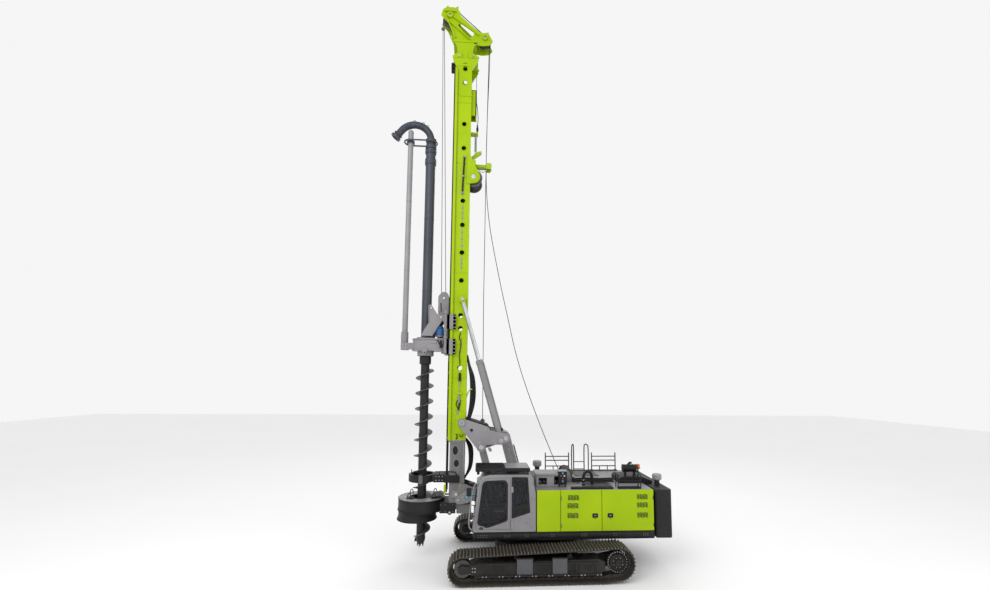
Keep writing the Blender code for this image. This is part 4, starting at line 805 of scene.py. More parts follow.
# ---------------------------------------------------------------- deck and engine house
def deck():
    """The deck frame, the counterweight, and the two air inlet caps."""
    clad("platform", "deck_frame", CHARCOAL, 0.012)
    trim = Build(CHARCOAL)
    for sign in (-1, 1):
        y = sign * DECK_SIDE_Y
        trim.box((-1.90, y, 1.215), (3.40, y + sign * 0.012, 1.245))
        trim.box((-0.05, y, 1.03), (3.40, y + sign * 0.010, 1.05))
        trim.use(WORN)
        groups = ((-1.80, 3), (-1.62, 2), (-1.02, 3), (-0.42, 2), (0.35, 2), (1.25, 3), (2.20, 2), (3.10, 3))
        for x, count in groups:
            for i in range(count):
                trim.bolts([(x + 0.065 * i, y, 1.175), (x + 0.065 * i, y, 1.125)], (0, sign, 0), 0.011, 0.010)
        trim.use(CHARCOAL)
    trim.box((3.45, -1.30, 1.05), (3.47, 1.30, 1.22))
    trim.done("deck_trim", "upper_structure", "charcoal_paint", (), 0.003)

    weight = Build(CHARCOAL)
    weight.tube([(3.505, -1.487, 2.40), (3.505, -1.487, 1.05)], 0.006, 6)
    for sign in (-1, 1):
        weight.use(CHARCOAL).ring((3.75, sign * 0.95, 2.415), UP, 0.07, 0.03, 0.012)
        weight.use(BLACK).tube([(3.72, sign * 0.95, 2.41), (3.72, sign * 0.95, 2.48),
            (3.75, sign * 0.95, 2.51), (3.78, sign * 0.95, 2.48), (3.78, sign * 0.95, 2.41)], 0.012, 8)
        weight.use(AMBER).box((WEIGHT_REAR_X, sign * 1.10, 1.30), (4.030, sign * 1.28, 1.38))
        weight.use(RED).box((WEIGHT_REAR_X, sign * 0.90, 1.30), (4.030, sign * 1.09, 1.38))
    weight.use(CHARCOAL)
    for z in (1.42, 1.90):
        weight.box((4.016, -1.34, z), (4.024, 1.34, z + 0.016))
    weight.use(WORN)
    for y in (-1.0, -0.35, 0.35, 1.0):
        for z in (1.14, 2.25):
            weight.bolt((WEIGHT_REAR_X, y, z), (1, 0, 0), 0.022, 0.012)
    weight.done("counterweight_fittings", "upper_structure", "charcoal_paint", (), 0.003)
    clad("counterweight", "counterweight_block", CHARCOAL, 0.012)

    cup = Build(PALE_GREY)
    for x, y, z, size in ((0.22, 0.80, 2.56, 1.05), (3.86, -0.70, 2.41, 1.0)):
        cup.use(BLACK).lathe([(0.085 * size, -0.13 if x < 1 else 0), (0.075 * size, 0.13 * size),
            (0.0005, 0.13 * size), (0.0005, 0)], (x, y, z), UP, 24)
        cup.use(PALE_GREY).lathe([(0.10 * size, 0.13 * size), (0.145 * size, 0.17 * size),
            (0.145 * size, 0.29 * size), (0.12 * size, 0.325 * size), (0.0005, 0.34 * size),
            (0.0005, 0.13 * size)], (x, y, z), UP, 28)
    cup.done("air_cleaner_caps", "upper_structure", "grey_paint", (), 0.002)


SILENCER = (-0.25, 2.83)
LAMP_AT = (3.49, -0.05)
LOUVRES = {"front": ((0.02, 2.215), (0.0, 1.985), (0.0, 1.705)),
    "rear": ((0.0, 2.225), (0.0, 1.990), (0.0, 1.70))}


def door_panel(side, sign, place, start, end):
    """One lime door: a folded skin with louvres, a handle and hinges, on its own body."""
    body = f"{side}_{place}_door"
    y0 = sign * (FACE_Y - 0.05)
    y1 = sign * FACE_Y
    low, high = PANEL_Z[0] + 0.008, PANEL_Z[1]

    skin = Build(LIME).box((start + 0.006, y0, low), (end - 0.006, y1, high))
    skin.done(f"{body}_skin", body, "lime_paint", (body,), 0.014, 3)
    trim = Build(BLACK)
    near = start if place == "front" else end
    way = 1 if place == "front" else -1
    middle = near + way * 0.36 if side == "left" else (start + end) / 2
    for slip, level in LOUVRES[place]:
        for row in range(4):
            z = level + 0.058 - 0.037 * row
            for column in range(4):
                x = middle + slip - 0.125 + 0.083 * column + 0.012 * (row % 2)
                wave = 0.006 * (1 if column % 2 else -1)
                ends = circle(x - 0.026, z + wave, 0.0125, 10) + circle(x + 0.026, z - wave, 0.0125, 10)
                # Each black slot under a louvre lip is a flat sheet of painted shade, standing for the dark
                # gap behind the louvre.
                trim.use(BLACK).plate(hull(ends), y1 - sign * 0.002, y1 + sign * 0.003)
                trim.use(LIME).plate([(x - 0.037, z + wave + 0.013), (x + 0.037, z - wave + 0.013),
                    (x + 0.034, z - wave + 0.018), (x - 0.034, z + wave + 0.018)], y1 - sign * 0.002,
                    y1 + sign * 0.012)
    x = (end - 0.21) if place == "front" else (start + 0.25)
    recess = [(x - 0.085, 1.64), (x + 0.085, 1.64), (x + 0.085, 1.765), (x - 0.085, 1.765)]
    trim.use(BLACK).plate(rounded(recess, 0.03), y1 - sign * 0.002, y1 + sign * 0.008)
    trim.use(PALE_GREY).plate(hull(circle(x - 0.020, 1.705, 0.010) + circle(x + 0.020, 1.705, 0.010)),
                              y1 + sign * 0.006, y1 + sign * 0.018)
    trim.use(BLACK).bar((x, 1.62), sign * (FACE_Y + 0.004), sign * (FACE_Y + 0.012), 0.012)
    trim.use(DARK_GREY)
    for z in (1.42, 2.20):
        hx = near + way * 0.022
        trim.post((hx, sign * (FACE_Y + 0.006)), z - 0.05, z + 0.05, 0.009, sides=10)
    trim.use(RUBBER)
    trim.box((start + 0.012, y0, low + 0.004), (end - 0.012, y0 - sign * 0.004, low + 0.018))
    trim.done(f"{body}_trim", body, "charcoal_paint", (), 0.0015)


def engine_house():
    """The housing with its doors, and on its roof the hatches, frames, hoses, silencer and lamp."""
    clad("engine_house", "engine_house_shell", GREY, 0.006)
    clad("engine_block", "engine_mass", WORN, 0.02)
    doors = {"left": ((0.61, 1.85), (1.85, 3.43)), "right": ((0.61, 1.54), (2.20, 3.43))}
    for side, sign in (("left", -1), ("right", 1)):
        for place, (start, end) in zip(("front", "rear"), doors[side]):
            door_panel(side, sign, place, start, end)
        clad(f"{side}_front_panel", f"{side}_front_skin", LIME, 0.014, 3)
    roof = Build(DARK_GREY)
    top = PANEL_Z[1]
    for x0, x1, y0, y1 in ((0.02, 0.66, 0.10, 1.30), (1.50, 2.30, -1.10, -0.56), (1.50, 2.30, 0.45, 1.28)):
        roof.box((x0, y0, top), (x1, y1, top + 0.018))
        roof.bolts([(x, y, top + 0.018) for x in (x0 + 0.04, x1 - 0.04) for y in (y0 + 0.04, y1 - 0.04)],
                   UP, 0.010, 0.008)
    for i in range(16):
        roof.box((1.56 + 0.045 * i, -1.05, top + 0.016), (1.575 + 0.045 * i, -0.60, top + 0.030))
    roof.done("roof_hatches", "upper_structure", "charcoal_paint", (), 0.002)

    edge = Build(BLACK)
    for x0, x1 in ((0.97, 2.25), (2.41, 3.09)):
        for y in (-1.36, -1.24):
            edge.box((x0, y - 0.015, top), (x1, y + 0.015, top + 0.05))
        for x in (x0 + 0.015, x1 - 0.015):
            edge.box((x - 0.015, -1.36, top), (x + 0.015, -1.24, top + 0.05))
    for x in (2.40, 3.10):
        edge.tube([(x, -1.33, top), (x, -1.33, top + 0.36), (x, -1.29, top + 0.41), (x, -1.15, top + 0.41),
                   (x, -1.11, top + 0.36), (x, -1.11, top)], 0.017, 10)
    edge.tube([(2.40, -1.33, top + 0.22), (3.10, -1.33, top + 0.22)], 0.013, 8)
    edge.done("deck_edge_frames", "upper_structure", "charcoal_paint", (), 0.002)

    lines = Build(BLACK)
    for i in range(5):
        y = -0.62 + 0.05 * i
        z = top + 0.045 + 0.042 * (i % 3)
        lines.tube([(1.17, y, z), (1.60, y, z + 0.02), (2.05, y, z), (2.50, y, z + 0.01)], 0.020, 8)
    lines.use(PALE_GREY)
    for x in (1.35, 1.80, 2.25):
        lines.box((x - 0.02, -0.66, top), (x + 0.02, -0.38, top + 0.03))
    lines.use(BLACK).tube(smooth([(1.44, -0.90, top), (1.44, -0.90, 2.66), (1.48, -0.90, 2.80),
        (1.58, -0.90, 2.86), (1.68, -0.88, 2.80), (1.72, -0.86, 2.62), (1.72, -0.86, top)], 5), 0.045, 12)
    lines.use(STEEL)
    for z in (2.50, 2.60):
        lines.ring((1.44, -0.90, z), UP, 0.052, 0.012, 0.015)
    lines.done("deck_hoses", "upper_structure", "charcoal_paint")

    hood = Build(CHARCOAL)
    hood.plate([(2.66, top), (2.66, 2.56), (2.74, 2.62), (3.42, 2.62), (3.56, 2.56), (3.74, 2.50),
        (3.74, top)], -0.62, 0.20)
    for i in range(9):
        x = 2.72 + 0.085 * i
        hood.box((x, -0.635, top + 0.03), (x + 0.045, -0.618, 2.56))
    hood.rod((2.90, *SILENCER), (3.34, *SILENCER), 0.118, sides=32)
    for x in (2.895, 3.05, 3.22, 3.345):
        hood.ring((x, *SILENCER), (1, 0, 0), 0.127, 0.014, 0.03, 32)
    for x in (2.98, 3.28):
        hood.box((x - 0.02, -0.33, 2.61), (x + 0.02, -0.17, 2.76))
    hood.use(BLACK).tube([(3.10, -0.25, 2.90), (3.10, -0.25, 2.97), (3.13, -0.25, 2.995),
        (3.20, -0.25, 3.00)], 0.036, 12)
    hood.done("engine_hood", "upper_structure", "charcoal_paint", ("muffler",), 0.006)

    lamp = Build(BLACK).post(LAMP_AT, 2.56, top + 0.35, 0.018)
    lamp.turn([(0.070, 0), (0.070, 0.02)], (*LAMP_AT, top + 0.35))
    lamp.use(AMBER).lathe([(0.060, 0.02), (0.060, 0.11), (0.045, 0.14), (0.0005, 0.15), (0.0005, 0.02)],
                          (*LAMP_AT, top + 0.35))
    lamp.done("beacon", "upper_structure", "charcoal_paint")


def tank():
    """Straps, a filler cap, a step and a grab rail on the fuel tank at the right front."""
    low, high = (Vector(corner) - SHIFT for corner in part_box("front_tank"))
    trim = Build(DARK_GREY)
    for share in (0.22, 0.78):
        x = low.x + (high.x - low.x) * share
        trim.box((x - 0.025, low.y + 0.05, high.z - 0.002), (x + 0.025, high.y + 0.008, high.z + 0.008))
        trim.box((x - 0.025, high.y - 0.002, low.z + 0.01), (x + 0.025, high.y + 0.008, high.z + 0.008))
        trim.bolts([(x, high.y + 0.008, z) for z in (low.z + 0.08, high.z - 0.08)], ALONG_Y, 0.014, 0.010)
    middle = ((low.x + high.x) / 2, low.y + 0.25, high.z)
    trim.use(BLACK).lathe([(0.075, 0), (0.075, 0.03), (0.055, 0.06), (0.0005, 0.065), (0.0005, 0)], middle,
        UP, 28)
    trim.use(WORN)
    for z in (low.z + 0.22, low.z + 0.50):
        trim.box((low.x + 0.30, high.y - 0.002, z), (low.x + 0.70, high.y + 0.060, z + 0.025))
    trim.use(PALE_GREY)
    trim.tube(smooth([(low.x + 0.10, high.y, low.z + 0.30), (low.x + 0.10, high.y + 0.07, low.z + 0.34),
        (low.x + 0.10, high.y + 0.07, high.z - 0.14), (low.x + 0.10, high.y, high.z - 0.10)], 4), 0.014, 10)
    trim.done("fuel_tank_fittings", "upper_structure", "charcoal_paint", (), 0.002)


def cabinet():
    """The valve cabinet and the control box with its round buttons."""
    clad("deck_cabinet", "valve_cabinet", GREY, 0.008)
    inside = Build(BLACK)
    for x0, x1 in ((0.02, 0.28), (0.50, 0.76)):
        inside.box((x0 + 0.01, -0.78, 2.50), (x1 - 0.01, -0.755, 2.68))
        inside.use(PALE_GREY)
        for k in range(3):
            inside.bar((x0 + 0.06 + 0.07 * k, 2.56), -0.90, -0.76, 0.022, sides=12)
        inside.use(BLACK)
        inside.tube(smooth([(x0 + 0.05, -0.86, 2.66), (x0 + 0.12, -0.94, 2.58), (x1 - 0.04, -0.90, 2.52)], 6),
            0.016, 8)
    inside.done("cabinet_valves", "upper_structure", "charcoal_paint", (), 0.002)
    panel = Build(BLACK)
    low = PANEL_Z[1]
    panel.box((0.64, -1.10, low), (0.66, -0.96, 2.52)).box((0.84, -1.10, low), (0.86, -0.96, 2.52))
    panel.box((0.62, -1.12, 2.52), (0.88, -0.95, 2.90))
    panel.use(PALE_GREY).box((0.61, -1.135, 2.90), (0.89, -0.94, 2.925))
    dots = ((SKY, 0.75, 2.85), (BLUE, 0.70, 2.77), (WHITE, 0.80, 2.77), (RED, 0.75, 2.69), (SKY, 0.75, 2.61))
    for colour, x, z in dots:
        panel.use(colour).turn([(0.026, 0), (0.026, 0.012), (0.018, 0.020)],
                                (x, -1.12, z), LEFT, 16)
    panel.done("control_box", "upper_structure", "charcoal_paint", (), 0.003)


def rails():
    """The guard rails on the right, drawn again with bent corners, and the ladder."""
    y, low, tube = 1.40, PANEL_Z[1] + 0.0005, 0.021
    made = Build(DARK_GREY)
    made.box((0.55, y - 0.03, low), (3.22, y + 0.03, low + 0.035))
    for x0, x1 in ((0.60, 1.45), (2.29, 3.16)):
        for x in (x0, x1):
            made.post((x, y), low, 3.06, tube, sides=12)
            made.dome((x, y, 3.06), UP, tube, tube, 12)
            made.box((x - 0.05, y - 0.04, low + 0.035), (x + 0.05, y + 0.04, low + 0.045))
        for z in (2.60, 2.80, 2.94):
            made.tube([(x0, y, z), (x1, y, z)], tube * 0.9, 10)
        for x in ((x0 * 2 + x1) / 3, (x0 + x1 * 2) / 3):
            made.box((x - 0.015, y - 0.012, low + 0.03), (x + 0.015, y + 0.012, 2.62))
    for post, rail in ((1.56, 1.67), (2.17, 2.06)):
        lean = (rail - post) * 0.3
        made.tube(smooth([(post, y, low), (post, y, 3.20), (post + lean, y + 0.03, 3.34),
            (rail - lean, y + 0.15, 3.34), (rail, y + 0.18, 3.20), (rail, y + 0.18, 2.3),
            (rail, y + 0.18, 1.35)], 4), tube, 10)
    for i in range(6):
        z = 1.42 + 0.26 * i
        made.box((1.67, y + 0.155, z - 0.012), (2.06, y + 0.205, z + 0.012))
    made.done("guard_rails", "upper_structure", "grey_paint", ("deck_rails",), 0.002)


deck()
engine_house()
tank()
cabinet()
rails()


# ---------------------------------------------------------------- cab
DOOR_WINDOW = [(-0.97, 1.59), (-0.97, 2.64), (-1.04, 2.71), (-1.61, 2.69), (-1.68, 2.62), (-1.82, 1.49),
    (-1.55, 1.40)]
DOOR_EDGE = [(-0.86, 1.33), (-0.86, 2.76), (-0.90, 2.80), (-1.60, 2.79), (-1.70, 2.70), (-1.765, 2.55),
    (-1.89, 1.50), (-1.89, 1.38), (-1.85, 1.33)]


def cab():
    """The cab's shell, door, panes, seals, hinges, rail and controls."""
    clad("cab_shell", "cab_body", GREY, 0.014, 3)
    clad("cab_door", "cab_door_frame", GREY, 0.006)
    for cad, name, pane in (("cab_door_glass", "door_pane", GLASS), ("cab_left_glass", "left_pane", GLASS),
            ("cab_right_glass", "right_pane", FAR_GLASS), ("cab_rear_glass", "rear_pane", FAR_GLASS),
            ("windshield", "front_pane", GLASS)):
        clad(cad, name, pane, 0.001)
    y = CAB_Y[0]
    door = Build(RUBBER)
    window = rounded(DOOR_WINDOW, 0.06)
    door.use(BLACK).plate([rounded(shrink(DOOR_WINDOW, -0.022), 0.07), shrink(window, 0.042)], y - 0.010,
        y + 0.012)
    door.use(WORN).plate([(-1.74, 1.888), (-0.99, 1.888), (-0.99, 1.912), (-1.745, 1.912)], y + 0.030,
        y + 0.044)
    # Three thin pale slanted strips just inside the door pane: painted light streaks, reflections on the
    # glass drawn as solid strips.
    for x, z0, z1 in ((-1.50, 2.10, 2.60), (-1.22, 2.28, 2.62), (-1.60, 1.96, 2.20)):
        door.use(PALE_GREY).plate([(x, z1), (x + 0.020, z1), (x + 0.075, z0), (x + 0.050, z0)], y + 0.046,
            y + 0.050)
    door.use(GREY)
    door.plate([shrink(DOOR_EDGE, 0.012), shrink(DOOR_EDGE, 0.034)], y - 0.007, y + 0.002)
    grip = (-1.72, 1.372)
    inner = oval(*grip, 0.066, 0.038)
    door.use(PALE_GREY).plate([oval(*grip, 0.095, 0.062), inner], y - 0.016, y - 0.001)
    door.use(BLACK).plate(inner, y - 0.010, y - 0.001)
    door.use(WORN).tube([(grip[0] - 0.05, y - 0.012, grip[1]), (grip[0] + 0.05, y - 0.012, grip[1])], 0.008,
        8)
    door.use(BLACK).tube([(-1.32, y + 0.045, 2.68), (-1.32, y + 0.045, 1.50)], 0.010, 8)
    door.box((-1.78, y + 0.035, 1.86), (-0.98, y + 0.050, 1.90))
    door.done("cab_door_trim", "cab_door", "charcoal_paint", (), 0.0015)

    trim = Build(RUBBER)
    quarter = [(-0.285, 1.80), (-0.355, 2.81), (-0.835, 2.82), (-0.835, 1.63)]
    glass_part = [(-0.385, 2.08), (-0.395, 2.72), (-0.755, 2.73), (-0.755, 1.97)]
    trim.use(BLACK).plate([rounded(quarter, 0.035), rounded(glass_part, 0.02)], y - 0.008, y + 0.004)
    trim.use(GREY)
    trim.plate([rounded(shrink(quarter, -0.014), 0.04), rounded(shrink(quarter, 0.001), 0.035)], y - 0.005,
        y + 0.002)
    for z0, z1 in ((2.38, 2.54), (1.34, 1.54)):
        trim.use(PALE_GREY).box((-0.845, y - 0.022, z0), (-0.79, y + 0.002, z1))
        trim.post((-0.850, y - 0.020), z0 - 0.005, z1 + 0.005, 0.013, sides=12)
    badge = [(-0.66, 1.34), (-0.30, 1.34), (-0.30, 1.68), (-0.66, 1.62)]
    trim.use(GREY).plate([rounded(badge, 0.06), rounded(shrink(badge, 0.022), 0.045)], y - 0.005, y + 0.002)
    trim.use(BLACK).bar((-0.40, 1.52), y - 0.010, y + 0.001, 0.014)
    for x, z in ((-0.235, 2.62), (-0.225, 1.38), (-0.225, 1.80), (-0.235, 2.20)):
        trim.bar((x, z), y - 0.006, y + 0.001, 0.011, sides=12)
    front = [(-1.955, 1.34), (-1.81, 2.54)]
    for yy in (CAB_Y[0] + 0.045, CAB_Y[1] - 0.045):
        trim.use(GREY).tube([(front[0][0] - 0.008, yy, front[0][1]), (front[1][0] - 0.008, yy, front[1][1])],
            0.018, 8)
    trim.use(BLACK)
    trim.tube([(-1.93, -1.02, 1.60), (-1.90, -1.05, 1.95), (-1.865, -1.08, 2.30)], 0.009, 6)
    trim.box((-1.905, -1.12, 2.02), (-1.875, -1.04, 2.40), 6.6)
    trim.done("cab_trim", "upper_structure", "charcoal_paint", (), 0.0015)

    rail = Build(PALE_GREY)
    yy = y + 0.03
    rail.tube(smooth([(-1.95, yy, 1.30), (-2.04, yy - 0.01, 1.36), (-2.075, yy - 0.01, 1.46),
        (-2.08, yy - 0.01, 1.62), (-2.04, yy - 0.01, 2.01), (-1.99, yy - 0.01, 2.35),
        (-1.94, yy - 0.01, 2.56), (-1.89, yy, 2.63), (-1.79, yy, 2.65)], 4), 0.016, 10)
    rail.use(BLACK)
    for x, z in ((-2.05, 1.72), (-2.03, 2.03), (-2.00, 2.30)):
        rail.rod((x, yy - 0.01, z), (x + 0.15, yy, z - 0.03), 0.012, sides=10)
    mirror = [(-2.16, 2.28), (-2.02, 2.28), (-2.02, 2.52), (-2.16, 2.52)]
    rail.tube([(-1.97, yy, 2.46), (-2.06, yy - 0.04, 2.46)], 0.010, 8)
    rail.plate(rounded(mirror, 0.03), yy - 0.06, yy - 0.03)
    rail.done("cab_grab_rail", "upper_structure", "grey_paint", (), 0.002)

    inside = Build(BLACK)
    inside.box((-1.86, -1.38, 1.315), (-0.20, -0.66, CAB_FLOOR))
    inside.box((-1.80, -1.36, 1.34), (-1.70, -0.70, 1.60)).box((-1.78, -0.64, 1.34), (-0.17, -0.625, 1.80))
    inside.box((-1.58, -1.40, 2.795), (-0.32, -0.64, 2.81)).box((-0.185, -1.40, 1.34), (-0.17, -0.64, 1.80))
    inside.box((-1.24, -1.385, 1.62), (-0.76, -1.285, 1.86)).box((-1.24, -0.795, 1.62), (-0.76, -0.695, 1.86))
    inside.use(DARK_GREY)
    for yj in (-CAB_FLOOR, -0.745):
        inside.rod((-1.18, yj, 1.86), (-1.21, yj, 2.02), 0.012, sides=10)
        inside.dome((-1.21, yj, 2.01), (-0.15, 0, 1), 0.024, 0.045)
    for yp in (-1.15, -0.98):
        inside.rod((-1.60, yp, CAB_FLOOR), (-1.50, yp, 1.62), 0.012, sides=8)
    inside.box((-1.74, -1.34, 1.78), (-1.68, -1.10, 2.00), 8).use(SKY).box((-1.682, -1.33, 1.79),
        (-1.676, -1.11, 1.99), 8)
    inside.use(WHITE).box((-1.36, -1.387, 1.80), (-1.05, -1.375, 1.86))
    inside.use(AMBER).bar((-1.22, 1.665), -1.39, -1.375, 0.035)
    inside.use(RED).box((-1.165, -1.39, 1.54), (-1.135, -1.378, 1.65))
    inside.done("cab_controls", "upper_structure", "charcoal_paint", (), 0.004)


def cushion(name, low, high, bulge, cells=10):
    """A stuffed pad: a closed box whose faces crown between pulled-in corners."""
    low, high = Vector(low) + SHIFT, Vector(high) + SHIFT
    middle, half = (low + high) / 2, (high - low) / 2
    shape = bmesh.new()
    bmesh.ops.create_cube(shape, size=2.0)
    bmesh.ops.subdivide_edges(shape, edges=shape.edges, cuts=cells, use_grid_fill=True)
    for vert in shape.verts:
        p = vert.co
        crown = [1 + bulge * (1 - p[(i + 1) % 3] ** 2) * (1 - p[(i + 2) % 3] ** 2) for i in range(3)]
        length = (abs(p.x) ** 5 + abs(p.y) ** 5 + abs(p.z) ** 5) ** 0.2
        vert.co = middle + Vector(tuple(p[i] / length * half[i] * crown[i] for i in range(3)))
    mesh = bpy.data.meshes.new(name)
    shape.to_mesh(mesh)
    shape.free()
    mesh.materials.append(FABRIC)
    return mesh


def seat():
    """Three stuffed pads on a suspension stand."""
    parts = (("seat_cushion", (-1.12, -1.28, 1.62), (-0.64, -0.80, 1.76)),
             ("seat_backrest", (-0.73, -1.26, 1.72), (-0.59, -0.82, 2.20)),
             ("seat_headrest", (-0.72, -1.14, 2.22), (-0.62, -0.94, 2.38)))
    for name, low, high in parts:
        pad = finish(name, cushion(name, low, high, 0.10), "upper_structure",
                     ("operator_seat",) if name == "seat_cushion" else ())
    stand = Build(BLACK)
    stand.box((-1.02, -1.20, CAB_FLOOR), (-0.70, -0.88, 1.40)).box((-0.95, -1.14, 1.40), (-0.78, -0.94, 1.58))
    stand.box((-1.08, -1.24, 1.58), (-0.68, -0.84, 1.62))
    for z in range(5):
        stand.ring((-0.865, -1.04, 1.42 + 0.03 * z), UP, 0.135, 0.03, 0.018)
    stand.done("seat_suspension", "upper_structure", "charcoal_paint", (), 0.004)


def roof_guard():
    """The tray over the cab, half closed and half mesh, with two work lamps."""
    clad("roof_guard", "guard_tray", BLACK, 0.006)
    top = Build(GREY)
    top.box((-1.02, -1.44, 3.062), (-0.32, -0.61, 3.080))
    top.use(MESH).box((-1.88, -1.44, 3.062), (-1.06, -0.61, 3.072))
    top.use(BLACK)
    for i in range(14):
        x = -1.85 + 0.058 * i
        top.bar((x, 3.078), -1.45, -0.60, 0.007, sides=6)
    for i in range(7):
        y = -1.40 + 0.125 * i
        top.rod((-1.88, y, 3.084), (-1.06, y, 3.084), 0.007, sides=6)
    for y in (-1.40, -0.66):
        top.use(BLACK).post((-1.86, y), 2.93, 3.00, 0.012, sides=8)
        top.turn([(0.055, 0), (0.055, 0.05), (0.03, 0.075)], (-1.86, y, 2.93), (1, 0, 0), 20)
        top.use(WHITE).rod((-1.867, y, 2.93), (-1.859, y, 2.93), 0.045, sides=20)
    top.done("guard_cover", "upper_structure", "charcoal_paint", (), 0.002)


cab()
seat()
roof_guard()


# ---------------------------------------------------------------- boom, link, cylinders and tripod
BOOM_FOOT = (-0.46, 2.03)
LINK_FOOT = (-1.24, 1.76)
ARM = (-0.50, 1.81)
BOOM_HEAD = (BOOM_FOOT[0] + ARM[0], BOOM_FOOT[1] + ARM[1])
LINK_HEAD = (LINK_FOOT[0] + ARM[0], LINK_FOOT[1] + ARM[1])
LUFF_FOOT = (-1.52, 1.42)
LUFF_HEAD = (BOOM_FOOT[0] + 0.42 * ARM[0], BOOM_FOOT[1] + 0.42 * ARM[1])
LUFF_Y = 0.48
STAY_Y = 0.475


def pin_cap(build, place, y, radius, sign):
    """The visible end of a pin: a cover plate with its bolts."""
    build.bar(place, y, y + sign * 0.014, radius, radius * 0.94, 28)
    build.bolt_ring(place, y + sign * 0.014, radius * 0.62, around(4, pi / 4), sign, 0.009, 0.008)


